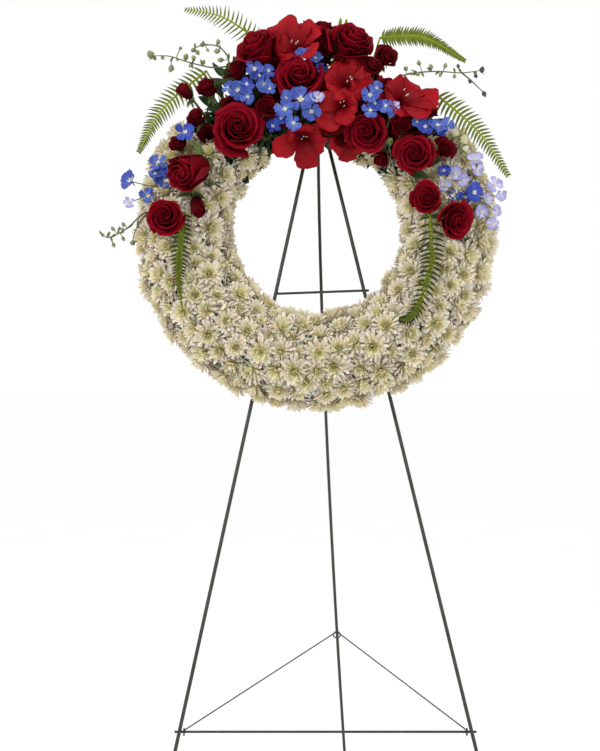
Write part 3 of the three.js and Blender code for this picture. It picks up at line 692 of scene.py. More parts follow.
SEGMENT = 36
HEAD_LIFT = 63  # where a head's foot sits above the core circle
OUTER_LIFT = 5  # and how much higher on the outside
HEADS_FROM = -108  # tilt of the first and last heads
HEADS_TO = 102
HEAD_SPACING = 24.5
HEAD_R = (22, 30)
HEAD_TRIES = 9000
INNER_TILT = -48  # heads on the hole's side reach further up than the others
INNER_ENDS = (-37, 27)
OTHER_ENDS = (-54.5, 54.5)
UNDER_PETALS = 1000  # loose petals beneath the heads of one segment
UNDER_LIFT = (50, 66)
UNDER_TILT = -50  # on the hole's side of this tilt they reach the segment's ends
HEAD_STEM_LIFT = 34  # where the heads' stems leave the foam
HEAD_LEAVES = 16  # leaves beneath the heads of one segment
BED_LEAVES = 240  # leaves all over one segment of the greenery
FLANK_LEAVES = 90  # and the further ones along its flanks
BED_LIFT = 48
FLANK_LIFT = 40
BACK_EDGE = 112  # tilt where the cover meets the tray, inside and outside
FLANKS = ((-BACK_EDGE, -60), (60, BACK_EDGE))
ALL_OVER = ((-BACK_EDGE, 0), (0, BACK_EDGE))
RING_LOOKS = [MUM, MUM_HEART, LEAF, STEM]


def in_segment(clock, middle):
    return abs((clock - middle + 180) % 360 - 180) <= SEGMENT / 2


def head_lift(tilt):
    return HEAD_LIFT + OUTER_LIFT * math.sin(math.radians(tilt))


def head_places(rng):
    """Scattered places on the ring's cover that keep a head's spacing from each other."""
    kept = np.empty((0, 3))
    chosen = []
    for _ in range(HEAD_TRIES):
        tilt = rng.uniform(HEADS_FROM, HEADS_TO)
        circle = CORE_R + HEAD_LIFT * math.sin(math.radians(tilt))
        if rng.uniform() > circle / (CORE_R + HEAD_LIFT):
            continue
        left, right = INNER_ENDS if tilt < INNER_TILT else OTHER_ENDS
        clock = rng.uniform(right, 360 + left)
        place = ring_place(clock, tilt, head_lift(tilt))
        if len(kept) and np.min(np.linalg.norm(kept - place, axis=1)) < HEAD_SPACING:
            continue
        kept = np.vstack([kept, place])
        chosen.append((clock, tilt))
    return chosen


def chrysanthemums():
    """All heads over the lower two thirds, gathered into one piece for each segment."""
    rng = np.random.default_rng(11)
    kinds = [mum(rng, MUM_LAYERS) for _ in range(10)]
    kinds += [mum(rng, MUM_LAYERS[:5]) for _ in range(4)]
    forms = {middle: Form() for middle in range(72, 289, SEGMENT)}
    for clock, tilt in head_places(rng):
        lift = head_lift(tilt) + rng.uniform(-6, 5)
        looks = outward(clock, tilt * 0.94) + rng.normal(0, 0.24, 3)
        middle = next((m for m in forms if in_segment(clock, m)), 72 if clock < 180 else 288)
        place = ring_place(clock, tilt, lift)
        axes = axes_towards(looks, rng.uniform(0, ANY_TURN))
        form = forms[middle]
        form.add(kinds[rng.integers(len(kinds))], axes, place, rng.uniform(*HEAD_R))
        tube(form, [ring_place(clock, tilt, HEAD_STEM_LIFT), place], [1.6, 1.8], 3, 5)
    for middle, form in forms.items():
        under_petals(form, middle, rng)
        ring_leaves(form, middle, rng, HEAD_LEAVES, FLANKS, FLANK_LIFT)
        piece = form.piece(f"chrysanthemum_heads_{middle}", RING_LOOKS)
        register(piece, "mum_petal", f"chrysanthemums_{middle}")


def under_petals(form, middle, rng):
    """Loose outer petals of the heads, which close the gaps between them."""
    low, high = middle - SEGMENT / 2, middle + SEGMENT / 2
    for _ in range(UNDER_PETALS):
        clock, tilt = rng.uniform(low, high), rng.uniform(-BACK_EDGE, BACK_EDGE)
        side = (clock + 180) % 360 - 180
        if tilt > UNDER_TILT and abs(side) < OTHER_ENDS[1]:
            continue
        blade = leaf_grid(rng.uniform(13, 20), rng.uniform(2.4, 3.2), rng.uniform(0.2, 0.9), 3, 4, True)
        axes = axes_towards(outward(clock, tilt) + rng.normal(0, 0.25, 3), rng.uniform(0, ANY_TURN))
        rows = leaning(axes, rng.uniform(0.1, 0.9))
        form.blade(blade, rows, ring_place(clock, tilt, rng.uniform(*UNDER_LIFT)), rng.uniform(0, 1), 0)


def ring_leaves(form, middle, rng, count, tilts, lift):
    """Short dark leaves that stand out of the foam between the flowers."""
    for _ in range(count):
        clock = middle + rng.uniform(-SEGMENT / 2, SEGMENT / 2)
        low, high = tilts[0] if rng.uniform() < 0.5 else tilts[1]
        tilt = rng.uniform(low, high)
        blade = leaf_grid(rng.uniform(24, 36), rng.uniform(6, 9), rng.uniform(-0.6, 0.4), 5, 7)
        axes = axes_towards(outward(clock, tilt) + rng.normal(0, 0.5, 3), rng.uniform(0, ANY_TURN))
        form.blade(blade, leaning(axes, 0.6), ring_place(clock, tilt, lift), rng.uniform(0, 1), 2)


def greenery():
    """The leafy bed under the crown of flowers."""
    rng = np.random.default_rng(12)
    for middle in (0, 36, 324):
        form = Form()
        ring_leaves(form, middle, rng, BED_LEAVES, ALL_OVER, BED_LIFT)
        ring_leaves(form, middle, rng, FLANK_LEAVES, FLANKS, FLANK_LIFT)
        register(form.piece(f"leaf_bed_{middle}", RING_LOOKS), "greenery", f"greenery_bed_{middle}")


# ---------------------------------------------------------------- the crown of cut flowers

FOOT_DEPTH = 0.9  # from a head's middle to the top of its stem, in radii
# clock, tilt, lift, radius, face (turned right and up of the outward line), opening
ROSES = [
    (-41, -11, 108, 47, (-0.05, 0.10), 1.0),
    (-7, 10, 112, 41, (0.0, 0.0), 0.95),
    (-19, 43, 130, 46, (-0.35, 0.0), 0.9),
    (11, 42, 132, 47, (0.2, -0.1), 0.9),
    (30, -29, 105, 36, (0.0, 0.2), 0.95),
    (57, -14, 105, 36, (0.0, 0.0), 0.95),
    (-69, 0, 105, 56, (-0.75, -0.6), 0.14),
    (-90, 17, 100, 36, (0.2, -0.1), 0.8),
    (80, -20, 100, 31, (0.1, 0.0), 0.8),
    (91, 6, 100, 36, (0.4, -0.4), 0.85),
]
# the first eight have solids of their own
SPRAY_ROSES = [
    (-39, 39, 112, 24, (-0.1, 0.1), 0.7),
    (-49, 28, 98, 21, (-0.1, 0.1), 0.8),
    (-24, -8, 105, 22, (0.1, 0.0), 0.8),
    (-61, 26, 98, 21, (0.0, 0.0), 0.6),
    (2, 51, 134, 27, (0.0, -0.1), 0.35),
    (23, 41, 125, 24, (0.1, -0.4), 0.9),
    (42, -6, 102, 22, (0.0, 0.1), 0.8),
    (61, 14, 100, 22, (0.2, 0.0), 0.95),
    (-45, 47, 123, 22, (-0.4, 0.3), 0.2),
    (-84, -13, 98, 28, (0.1, -1.5), 0.0),
    (45, -45, 92, 20, (0.1, -0.5), 0.5),
    (16, -51, 90, 19, (0.0, -0.2), 0.7),
    (46, 25, 104, 18, (0.1, 0.2), 0.8),
    (4, 40, 118, 26, (0.1, -0.4), 0.6),
    (9, 28, 112, 17, (0.1, -0.2), 0.7),
    (20, 27, 120, 22, (0.1, 0.1), 0.8),
    (10, -34, 104, 20, (0.0, 0.0), 0.8),
    (-12, -38, 92, 19, (-0.2, 0.0), 0.6),
]
# clock, tilt, lift, radius, face, petals (direction in degrees, reach); five have solids
GLADIOLI = [
    (-7, 38, 136, 46, (-0.1, -0.30), [(121, 1.36), (232, 0.8), (36, 1.15), (180, 0.72), (78, 1.05),
     (322, 1.0)]),
    (13, 9, 118, 43, (0.1, 0.1), [(48, 1.22), (100, 0.95), (8, 1.05), (160, 0.95), (300, 0.9),
     (225, 0.95)]),
    (-8, -47, 110, 44, (0.0, 0.3), [(201, 1.28), (330, 0.95), (281, 1.18), (30, 0.8), (90, 0.6),
     (150, 0.7)]),
    (35, 20, 115, 50, (0.1, 0.1), [(345, 1.22), (42, 0.85), (301, 1.2), (257, 0.95), (130, 0.75),
     (190, 0.68)]),
    (13, -13, 124, 36, (0.0, 0.1), [(171, 1.2), (228, 1.45), (280, 1.0), (335, 0.75), (45, 0.7),
     (110, 0.75)]),
    (22, 14, 105, 36, (0.3, 0.4), [(10, 1.0), (70, 1.1), (130, 0.9), (190, 0.9), (250, 0.9), (310, 1.0)]),
    (20, -47, 98, 34, (0.0, 0.1), [(200, 1.0), (260, 1.2), (320, 1.0), (20, 0.8), (80, 0.8), (140, 0.8)]),
]
# The dark rose colour on the fillers deep in the crown is painted shade; the bright ones keep the roses' own
# colour.
BRIGHT, PAINTED_SHADE = 2, 0  # material slots of the smaller roses that fill the crown beneath the others
# clock, tilt, lift, radius, colour, and the face of those that are turned
FILLERS = [
    (-28, 42, 108, 28, BRIGHT, (-0.3, 0.1)), (-11, 34, 108, 27, BRIGHT, (-0.1, 0.1)),
    (-16, 36, 102, 25, PAINTED_SHADE), (-13, 41, 104, 25, PAINTED_SHADE), (1, 36, 100, 22, PAINTED_SHADE), (-27, 30, 92, 22, PAINTED_SHADE),
    (-1, 45, 116, 25, BRIGHT), (-35, 14, 86, 22, PAINTED_SHADE), (-30, -14, 84, 22, PAINTED_SHADE), (-17, 6, 92, 24, PAINTED_SHADE),
    (-17, -22, 90, 22, PAINTED_SHADE), (-2, 16, 92, 24, PAINTED_SHADE), (-2, -14, 94, 24, PAINTED_SHADE), (4, -4, 100, 24, BRIGHT),
    (6, -38, 88, 22, PAINTED_SHADE), (19, -10, 94, 24, BRIGHT), (24, -44, 92, 22, BRIGHT), (20, 24, 94, 24, PAINTED_SHADE),
    (28, 20, 96, 24, BRIGHT), (31, -8, 92, 24, PAINTED_SHADE), (38, -22, 86, 22, PAINTED_SHADE), (45, 6, 90, 24, PAINTED_SHADE),
    (52, -6, 84, 22, PAINTED_SHADE), (-51, 8, 80, 20, PAINTED_SHADE), (-20, 34, 96, 24, BRIGHT), (12, 34, 100, 26, BRIGHT),
    (3, 44, 104, 24, PAINTED_SHADE),
]
BLUE, PALE, DEEP = 0, 3, 4  # material slots of the florets
# clock, tilt, lift, florets (right and up of the cluster's middle, radius, colour); six have solids
DELPHINIUMS = [
    (-24, 19, 112, [(1, 17, 17, BLUE), (24, 15, 13, BLUE), (17, -10, 14, BLUE), (-27, -18, 17, BLUE),
     (-12, -10, 14, DEEP), (-9, -30, 13, BLUE), (27, -18, 11, BLUE), (-41, -15, 12, BLUE),
     (9, 4, 12, DEEP)]),
    (-10, -17, 124, [(6, 13, 25, BLUE), (-20, -3, 17, BLUE), (-17, 16, 12, BLUE), (34, 16, 13, PALE),
     (24, -6, 16, BLUE), (-6, -27, 14, BLUE), (-27, -18, 12, DEEP)]),
    (27, 0, 120, [(-11, 5, 15, BLUE), (1, 19, 13, BLUE), (-11, -21, 15, BLUE), (15, -13, 13, BLUE),
     (24, -21, 10, BLUE), (-2, -8, 12, DEEP), (32, -11, 9, PALE)]),
    (52, 17, 112, [(-18, -3, 14, DEEP), (2, -3, 15, BLUE), (18, -2, 13, BLUE), (-32, 4, 10, BLUE),
     (9, -10, 11, DEEP)]),
    (-76, 52, 98, [(-22, -2, 19, BLUE), (23, 29, 17, BLUE), (36, -1, 18, BLUE), (7, -26, 16, BLUE),
     (18, 10, 13, BLUE), (-24, -38, 10, PALE), (30, 13, 12, DEEP)]),
    (78, 36, 102, [(-10, 43, 14, PALE), (-42, 21, 14, PALE), (-58, -3, 13, PALE), (-60, 24, 12, DEEP),
     (-7, 25, 12, PALE), (-12, -14, 17, DEEP), (-26, -21, 12, DEEP), (22, -1, 15, PALE),
     (0, -46, 13, PALE), (20, -64, 12, PALE), (25, -42, 11, PALE), (32, -19, 11, PALE),
     (-29, 7, 12, PALE), (-44, -17, 12, BLUE), (9, -25, 11, PALE)]),
    (-55, 22, 108, [(-4, -6, 17, DEEP)]),
    (-3, 29, 115, [(0, 2, 13, BLUE), (14, -5, 12, BLUE), (22, -20, 10, DEEP), (-11, 5, 10, BLUE)]),
    (-26, -31, 96, [(2, 4, 13, DEEP)]),
]
DELPHINIUM_LOOKS = [DELPHINIUM, STEM, BEE, PALE_DELPHINIUM, DEEP_BLUE]
LOOSE = 0.26  # how far a floret may look away from its cluster's direction
CLUSTER_DEPTH = 34  # from a cluster's middle back to where its florets' stems meet


def stem_to(form, clock, tilt, foot, radius=2.2):
    """A stem from the foam to the foot of a head."""
    root = ring_place(clock, tilt, ROOT_LIFT)
    bend = (root + foot) / 2 + Z_AXIS * 2
    tube(form, spline([root, bend, foot], 7), radius, 1)


def plant(form, head, roll, clock, tilt, lift, radius, face=(0, 0)):
    """Turns one head to its place on the ring and stands it on its stem."""
    place = ring_place(clock, tilt, lift)
    facing = unit(outward(clock, tilt) + np.array([*face, 0.0]))
    form.add(head, axes_towards(facing, roll), place)
    stem_to(form, clock, tilt, place - facing * FOOT_DEPTH * radius)


def blooms(kind, table, solids, seed, build, looks, slot, rolled=False):
    """A piece for each row of a table; the first ones stand for solids of the same name."""
    rng = np.random.default_rng(seed)
    for i, (clock, tilt, lift, radius, face, character) in enumerate(table, 1):
        form = Form()
        head = build(radius, character, rng)
        roll = rng.uniform(0, ANY_TURN) if rolled else 0.0
        plant(form, head, roll, clock, tilt, lift, radius, face)
        nodes = [f"{kind}_{i}"] if i <= solids else []
        register(form.piece(f"{kind}_{i}_bloom", looks), slot, *nodes)


def fillers():
    """Roses that sit lower in the crown, gathered into one piece."""
    rng = np.random.default_rng(28)
    form = Form()
    for clock, tilt, lift, radius, colour, *face in FILLERS:
        head = small_rose(radius, 0.9, rng, 15, 0)
        # A filler in the dark rose slot is painted shade.
        head.repaint(0, colour)
        plant(form, head, rng.uniform(0, ANY_TURN), clock, tilt, lift, radius, *face)
    register(form.piece("inner_roses", [DARK_ROSE, STEM, ROSE]), "dark_rose_petal")


def delphiniums():
    rng = np.random.default_rng(24)
    for i, (clock, tilt, lift, florets) in enumerate(DELPHINIUMS, 1):
        form = Form()
        place, outwards = ring_place(clock, tilt, lift), outward(clock, tilt)
        facing = unit(outwards + Z_AXIS * 2)
        foot = place - outwards * CLUSTER_DEPTH
        for right, up, size, colour in florets:
            depth = 0.2 * size - 0.1 * math.hypot(right, up) + rng.uniform(-3, 5)
            middle = place + np.array([right, up, depth])
            stray = np.clip(rng.normal(0, LOOSE, 3), -LOOSE, LOOSE)
            looks = facing + np.array([right, up, 0]) * 0.006 + stray
            head = floret(size, rng)
            head.repaint(0, colour)
            form.add(head, axes_towards(looks, rng.uniform(0, ANY_TURN)), middle)
            bend = (foot + middle) / 2 - facing * 4
            tube(form, spline([foot, bend, middle - facing * 2], 6), 0.9, 1, 6)
        stem_to(form, clock, tilt, foot)
        slot = "pale_delphinium_petal" if i == 6 else "delphinium_petal"
        nodes = [f"delphinium_{i}"] if i <= 6 else []
        register(form.piece(f"delphinium_{i}_florets", DELPHINIUM_LOOKS), slot, *nodes)


# points along the midrib in wreath axes, longest leaflet, its half width, pairs, arch of its
# leaflets, how much they shorten towards the tip, and whether a band of folded leaves hides the midrib
FERNS = [
    ([(-91, 308, 108), (-157, 350, 118), (-224, 369, 106)], 27, 1.8, 22, 0.0, 0.8, False),
    ([(-185, 259, 108), (-259, 190, 110), (-299, 120, 92)], 25, 2.4, 31, 0.0, 0.7, False),
    ([(108, 316, 112), (182, 314, 118), (253, 277, 105)], 20, 2.4, 40, 0.0, 0.7, False),
    ([(203, 217, 108), (271, 153, 110), (324, 79, 92)], 25, 2.6, 28, 0.0, 0.7, False),
    ([(-220, 10, 122), (-223, -32, 125), (-226, -76, 126), (-226, -112, 125), (-219, -162, 120)],
     20, 2.3, 26, 0.05, 1.25, True),
    ([(188, 10, 122), (190, -40, 125), (190, -75, 126), (181, -112, 125), (166, -152, 122),
     (150, -171, 121), (136, -171, 120)], 25, 2.3, 30, 0.15, 0.75, True),
]
# fronds 1, 5 and 6 leave their stems further along, beyond the rose that they pass behind
STEMS_AT = {1: (-120, 334, 110), 5: (-223, -44, 122), 6: (188, -14, 122)}
BAND = 4.8  # half width of the young folded leaves along a hanging frond's midrib
FOLDED_PAIRS = 46
SMALL_TIPS = [
    ((38, 300, 108), (40, 330, 110), (42, 352, 110)),
    ((46, 300, 108), (49, 328, 110), (52, 350, 110)),
]
RIB_R = 2.0


def frond(form, path, longest, half, pairs, arching, fall, hanging, rng):
    """A midrib with pairs of narrow leaflets that shorten towards the tip."""
    tube(form, path, np.linspace(RIB_R, 0.5, len(path)), 1)
    if hanging:
        folded_leaves(form, path, rng)
    tangents = directions(path)
    total = len(path) - 1
    columns = 8
    reach = np.linspace(0, 1, columns)
    for i in range(pairs):
        t = 0.03 + 0.97 * (1.25 - 0.25 * i / pairs) * i / pairs
        place = t * total
        low = int(place)
        point = path[low] + (path[min(low + 1, total)] - path[low]) * (place - low)
        tangent = tangents[low]
        across = unit(np.cross(tangent, Z_AXIS))
        length = longest * (0.72 + 0.28 * math.sin(math.pi * min(1, t * 1.2 + 0.15)))
        length = length * max(0.12, 1 - fall * t ** 3)
        curve = tangent * (0.14 * length * reach ** 2)[:, None]
        arch = np.array([0.0, 1.0, 0.0]) * (arching * length * reach * (0.55 - reach))[:, None]
        for side in (-1, 1):
            leaflet = length * rng.uniform(0.88, 1.05)
            blade = leaf_grid(leaflet, half * (1.0 - 0.2 * t), -0.35, 4, columns, True)
            sweep = (0.05 if hanging else 0.15) + 0.4 * t ** 1.5 + rng.uniform(-0.05, 0.05)
            forward = unit(across * side + tangent * sweep + Z_AXIS * rng.uniform(-0.12, 0.12))
            normal = unit(Z_AXIS - forward * np.dot(forward, Z_AXIS))
            rows = np.array([forward, np.cross(normal, forward), normal])
            form.blade(blade, rows, point + curve + arch, rng.uniform(0, 1), 0)


def folded_leaves(form, path, rng):
    """The bright band down a hanging frond: short folded leaves that overlap along the midrib."""
    tangents = directions(path)
    for i in range(FOLDED_PAIRS):
        t = i / FOLDED_PAIRS
        place = int(t * (len(path) - 1))
        tangent = tangents[place]
        across = unit(np.cross(tangent, Z_AXIS))
        reach = BAND * (0.75 + 0.35 * math.sin(math.pi * t ** 1.2)) * (1 - 0.8 * t ** 7)
        for side in (-1, 1):
            lean = unit(tangent + side * across * 0.8 + Z_AXIS * 0.12)
            normal = unit(Z_AXIS - lean * np.dot(lean, Z_AXIS) - side * across * 0.3)
            rows = np.array([lean, unit(np.cross(normal, lean)), normal])
            blade = leaf_grid(reach * 1.7 * rng.uniform(0.85, 1.15), reach * 0.40, -0.1, 3, 5)
            form.blade(blade, rows, path[place] + Z_AXIS * 1.6, rng.uniform(), 2)


def ferns():
    rng = np.random.default_rng(25)
    for i, (points, longest, half, pairs, arching, fall, hanging) in enumerate(FERNS, 1):
        form = Form()
        frond(form, spline(points, 40), longest, half, pairs, arching, fall, hanging, rng)
        trailing_stem(form, STEMS_AT.get(i, points[0]))
        # hanging fronds take the fern colour darkened as painted shade
        looks = [SHADED_FERN if hanging else FERN, FERN_RIB, FOLDED_FERN]
        register(form.piece(f"fern_{i}_frond", looks), "fern_leaf", f"fern_{i}")
    form = Form()
    for points in SMALL_TIPS:
        frond(form, spline(points, 20), 8, 2.4, 13, 0.0, 0.8, False, rng)
        trailing_stem(form, points[0])
    register(form.piece("small_fern_tips", [FERN, FERN_RIB]), "fern_leaf")


def trailing_stem(form, base):
    """The stem that stands under the base of a frond or spray."""
    base = np.asarray(base, float)
    clock = math.degrees(math.atan2(base[0], base[1]))
    tilt = math.degrees(math.atan2(math.hypot(base[0], base[1]) - CORE_R, base[2] - CORE_OUT))
    stem_to(form, clock, tilt, base, 1.6)


GREEN, PURPLE, CREAM = 0, 2, 3  # material slots of the buds
PURPLE_FROM = 235  # green buds further right than this are purple
# solid or none, depth, colour, stems through a few points, buds (x, y, radius)
BUD_SPRAYS = [
    ("bud_spray_1", 118, GREEN,
     [((-146, 264), (-150, 284), (-168, 301), (-195, 299), (-207, 292)), ((-146, 264), (-173, 261),
      (-212, 271), (-246, 281), (-276, 283))],
     [(-207, 292, 4.2), (-192, 303, 4.4), (-165, 306, 4.0), (-166, 289, 4.2), (-160, 275, 4.4),
      (-200, 288, 3.4), (-182, 290, 3.0), (-279, 286, 5.6), (-272, 280, 3.4), (-258, 280, 3.6),
      (-244, 262, 4.4), (-219, 282, 4.6), (-229, 298, 2.6), (-206, 276, 3.4), (-190, 272, 3.2),
      (-212, 262, 2.8), (-148, 281, 2.8)]),
    ("bud_spray_2", 122, GREEN,
     [((140, 232), (146, 246), (176, 253), (208, 254), (244, 252), (277, 256)), ((244, 252), (262, 236),
      (281, 214))],
     [(279, 257, 4.0), (258, 234, 4.0), (281, 213, 4.6), (151, 260, 3.4), (173, 268, 3.6),
      (171, 247, 3.4), (193, 261, 3.6), (208, 246, 3.4), (217, 263, 3.6), (232, 244, 3.0),
      (238, 260, 3.2), (268, 246, 3.0), (160, 250, 2.8)]),
    ("bud_spray_3", 97, GREEN,
     [((-276, 18), (-290, 12), (-312, -8), (-328, -20), (-344, -27), (-356, -23)), ((-280, 18),
      (-294, -2), (-302, -18), (-306, -34))],
     [(-356, -22, 2.6), (-338, -14, 3.2), (-338, -38, 3.4), (-321, -6, 3.4), (-322, -28, 3.8),
      (-306, -35, 4.2), (-326, -12, 2.4), (-344, -28, 2.6), (-298, -8, 2.6), (-346, -18, 2.4)]),
    (None, 112, CREAM,
     [((228, 116), (240, 128), (246, 146)), ((236, 122), (246, 118), (258, 106))],
     [(232, 148, 6.5), (246, 138, 7.5), (249, 122, 6.5)]),
    (None, 128, GREEN,
     [((118, 156), (122, 166), (125, 171)), ((116, 126), (120, 130), (122, 133))],
     [(125, 173, 5.4), (123, 132, 6.0)]),
]


def bud(form, place, looks, radius, slot):
    """An egg-shaped bud with faint ribs and a point."""
    angles = around(9)
    t = row_steps(9)
    r = radius * np.sin(math.pi * np.clip(t, 0.03, 0.97)) ** 0.75 * (1.1 - 0.3 * t)
    r = r * (1 + 0.10 * np.cos(3 * angles))
    body = swung(r, 0, radius * 2.6 * (t - 0.45), angles)
    form.grid(body @ axes_towards(looks) + place, stacked(t, angles / 6.3, 0.4), slot, True)


def bud_sprays():
    rng = np.random.default_rng(26)
    for i, (node, depth, tone, stems, buds) in enumerate(BUD_SPRAYS):
        form = Form()
        paths = [spline([(x, y, depth + rng.uniform(-4, 4)) for x, y in stem], 28) for stem in stems]
        for path in paths:
            tube(form, path, np.linspace(1.6, 0.8, 28), 1, 7)
        every = np.concatenate(paths)
        for x, y, radius in buds:
            place = np.array([x, y, depth + rng.uniform(-8, 8)])
            start = every[np.argmin(np.linalg.norm(every - place, axis=1))]
            looks = place - start + rng.normal(0, 1.5, 3) + [0, 0.5, 0]
            if np.linalg.norm(place - start) > radius:
                bend = (place + start) / 2 + rng.normal(0, 1.2, 3)
                tube(form, spline([start, bend, place], 6), 0.8, 1, 6)
            slot = PURPLE if tone == GREEN and x > PURPLE_FROM else tone
            bud(form, place, looks, radius * rng.uniform(0.9, 1.2), slot)
            leaf = leaf_grid(rng.uniform(8, 14), 2.0, 0.3, 3, 5)
            axes = axes_towards(rng.normal(0, 0.5, 3) + Z_AXIS, rng.uniform(0, ANY_TURN))
            form.blade(leaf, axes, start, 0.5, 1)
        trailing_stem(form, (*stems[0][0], depth))
        piece = form.piece(f"{node or f'bud_sprig_{i}'}_buds", [BUD, STEM, PURPLE_BUD, CREAM_BUD])
        register(piece, "bud_green", *([node] if node else []))


# base in wreath axes, direction, length, half width
LEAVES = [
    ((-90, 146, 100), (-0.9, -0.5, 0.1), 24, 3.0), ((-86, 142, 100), (-0.4, -0.9, 0.1), 30, 2.6),
    ((-82, 142, 98), (0.1, -1.0, 0.1), 34, 2.4), ((-78, 144, 98), (0.5, -0.9, 0.1), 38, 2.4),
    ((-74, 148, 98), (0.9, -0.6, 0.1), 28, 2.4), ((-94, 152, 100), (-1.0, 0.1, 0.1), 22, 2.6),
    ((152, 84, 112), (0.9, -0.35, 0.2), 40, 9), ((176, 92, 112), (0.9, 0.3, 0.2), 34, 8),
    ((-208, 44, 122), (-0.9, -0.3, 0.2), 24, 5), ((-204, 42, 122), (0.8, -0.4, 0.2), 22, 5),
    ((-168, 58, 122), (0.8, -0.5, 0.2), 15, 1.6), ((-170, 60, 122), (0.95, 0.0, 0.2), 17, 1.6),
    ((-120, 250, 116), (-0.9, 0.3, 0.2), 34, 6), ((-128, 240, 116), (-1.0, -0.1, 0.2), 36, 5),
    ((-140, 246, 110), (-0.9, 0.5, 0.2), 34, 6), ((-150, 238, 106), (-0.8, 0.1, 0.2), 34, 6),
    ((-158, 250, 104), (-0.5, 0.7, 0.2), 30, 5), ((-130, 256, 108), (-0.3, 0.9, 0.2), 30, 6),
    ((-172, 236, 100), (-0.9, -0.3, 0.2), 32, 6), ((-158, 222, 84), (-0.5, 0.8, 0.3), 38, 8),
    ((-150, 205, 84), (-0.9, -0.2, 0.3), 38, 8), ((-168, 205, 80), (-0.8, 0.4, 0.3), 36, 8),
    ((66, 262, 112), (0.6, 0.7, 0.2), 34, 7), ((84, 250, 110), (0.8, 0.3, 0.2), 34, 7),
]


def loose_leaves():
    """Rose leaves that show between the flowers."""
    rng = np.random.default_rng(27)
    form = Form()
    for base, direction, length, half in LEAVES:
        along = unit(np.array(direction))
        across = np.cross(Z_AXIS, along)
        rows = np.array([along, unit(across), unit(np.cross(along, across))])
        blade = leaf_grid(length, half, rng.uniform(-0.5, -0.1), 7, 11)
        form.blade(blade, rows, base, rng.uniform(), 0)
        trailing_stem(form, base)
    register(form.piece("rose_leaves", [LEAF, STEM]), "greenery")


# ---------------------------------------------------------------- easel


def leg_x(side, at):
    centre = APEX_X * (at - LOWER_BAR_AT) / (APEX_AT - LOWER_BAR_AT)
    return centre + side * LEG_SLOPE * (APEX_AT - at)


def on_floor(path, radius):
    """Drops the first ring of a leg's path so that its end stands on the floor."""
    start, direction = path[0], unit(path[1] - path[0])
    path[0] = start - direction * (start[2] - radius * 0.35 * abs(direction[2])) / direction[2]
    return path


def weld(form, place):
    """A small flattened bead of weld metal."""
    angles = around(14)
    t = np.linspace(-math.pi / 2, math.pi / 2, 9)[None, :]
    lumps = 1 + 0.12 * np.cos(3 * angles) * np.cos(t)
    width = 1.25 * np.cos(t) * np.cos(angles) * lumps
    bead = stacked(width, np.cos(t) * np.sin(angles), 0.75 * np.sin(t)) * WELD_R
    form.grid(bead @ FRAME_AXES + place, stacked(0 * t, 0 * angles, 0.5), 0, True)


def wire_piece(form, node):
    register(form.piece(f"{node}_wire", [WIRE], as_given), "painted_wire", node)


def easel_wires():
    """Round wires in place of the faceted solids, with weld beads where they cross."""
    for side, node in ((-1, "front_leg_left"), (1, "front_leg_right")):
        form = Form()
        heights = np.linspace(3, LEG_END_AT - 1, 24)
        path = np.array([on_frame(leg_x(side, at), at) for at in heights])
        tube(form, on_floor(path, LEG_R), LEG_R, 0, 20)
        for at in (LOWER_BAR_AT, UPPER_BAR_AT, HINGE_AT):
            weld(form, on_frame(leg_x(side, at), at, -LEG_R - 0.2))
        wire_piece(form, node)
    # node, height, how far it passes the left and right leg, how much higher its right end is
    bars = [("lower_crossbar", LOWER_BAR_AT, 8, 8, 0), ("upper_crossbar", UPPER_BAR_AT, 3, 8, 6),
            ("hinge_pin", HINGE_AT, 4, 4, 0)]
    for node, at, left, right, rise in bars:
        form = Form()
        start = on_frame(leg_x(-1, at) - left, at - rise / 2, BAR_OUT)
        end = on_frame(leg_x(1, at) + right, at + rise / 2, BAR_OUT)
        tube(form, np.linspace(start, end, 12), BAR_R, 0, 16)
        wire_piece(form, node)


def carried_over():
    """The CAD solids that stay in view, each with its finish."""
    looks = {"back_leg": WIRE, "spreader_wire": WIRE, "tie_wire_left": TIE, "tie_wire_right": TIE,
             "tie_wire_top": TIE, "backing_tray": TRAY, "foam_ring": FOAM}
    for node, look in looks.items():
        for slot in frame["nodes"][node].material_slots:
            slot.material = look


# ---------------------------------------------------------------- studio

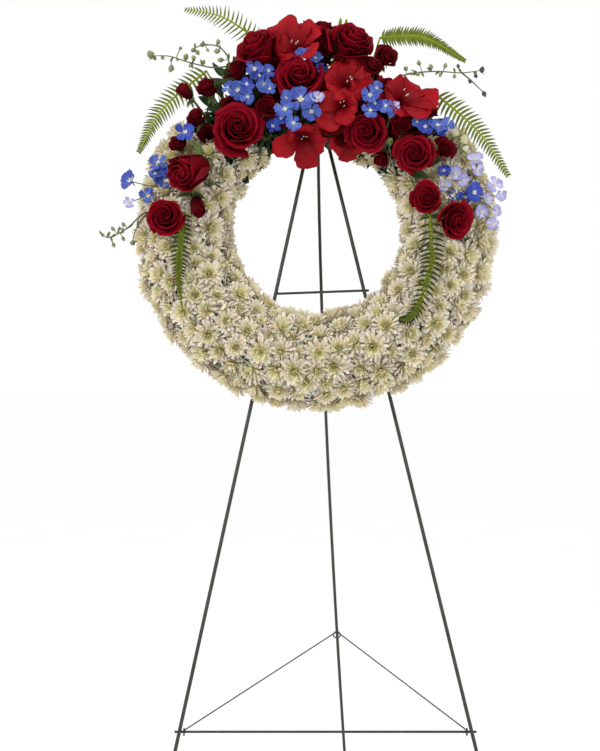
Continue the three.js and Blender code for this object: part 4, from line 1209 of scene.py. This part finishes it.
FLOOR_REACH = 60.0
LIGHTS = [("key_light", (-1.6, -2.2, 1.5), 1.6, 34), ("fill_light", (2.2, -2.4, 0.5), 2.0, 14)]
CAMERA_FROM_BAR = (-42, -3296, 0)
CAMERA_HEIGHT = 0.724
FOCAL_LENGTH = 95.9


def studio():
    world = bpy.data.worlds.new("studio_world")
    bpy.context.scene.world = world
    world.use_nodes = True
    backdrop = world.node_tree.nodes["Background"]
    backdrop.inputs["Color"].default_value = (1, 1, 1, 1)
    backdrop.inputs["Strength"].default_value = 1.0
    mesh = bpy.data.meshes.new("floor")
    corners = [(x * FLOOR_REACH, y * FLOOR_REACH, 0) for x, y in ((-1, -1), (1, -1), (1, 1), (-1, 1))]
    mesh.from_pydata(corners, [], [(0, 1, 2, 3)])
    mesh.materials.append(floor_material())
    floor = add_object("floor", mesh)
    middle = on_frame(WREATH_X, WREATH_AT) * MM
    for name, offset, size, power in LIGHTS:
        light = bpy.data.lights.new(name, "AREA")
        light.shape = "DISK"
        light.size = size
        light.energy = power
        lamp = add_object(name, light)
        lamp.location = middle + np.array(offset)
        lamp.rotation_euler = (Vector(middle) - lamp.location).to_track_quat("-Z", "Y").to_euler()


def camera():
    """Level, in front of the easel, a little to the left of the lower crossbar's middle."""
    lens = bpy.data.cameras.new("camera")
    lens.sensor_width = 36
    lens.lens = FOCAL_LENGTH
    lens.clip_end = 200
    view = add_object("camera", lens)
    view.location = (BAR + np.array(CAMERA_FROM_BAR)) * MM
    view.location.z = CAMERA_HEIGHT
    view.rotation_euler = (math.radians(90), 0, 0)
    bpy.context.scene.camera = view
    bpy.context.scene.view_settings.view_transform = "Standard"


camera()
studio()
carried_over()
easel_wires()
chrysanthemums()
greenery()
blooms("rose", ROSES, 10, 21, rose, [ROSE, STEM], "rose_petal", rolled=True)
blooms("spray_rose", SPRAY_ROSES, 8, 22, small_rose, [DARK_ROSE, STEM], "dark_rose_petal")
blooms("gladiolus", GLADIOLI, 5, 23, gladiolus, [GLADIOLUS, STEM, BEE], "gladiolus_petal")
fillers()
delphiniums()
ferns()
bud_sprays()
loose_leaves()
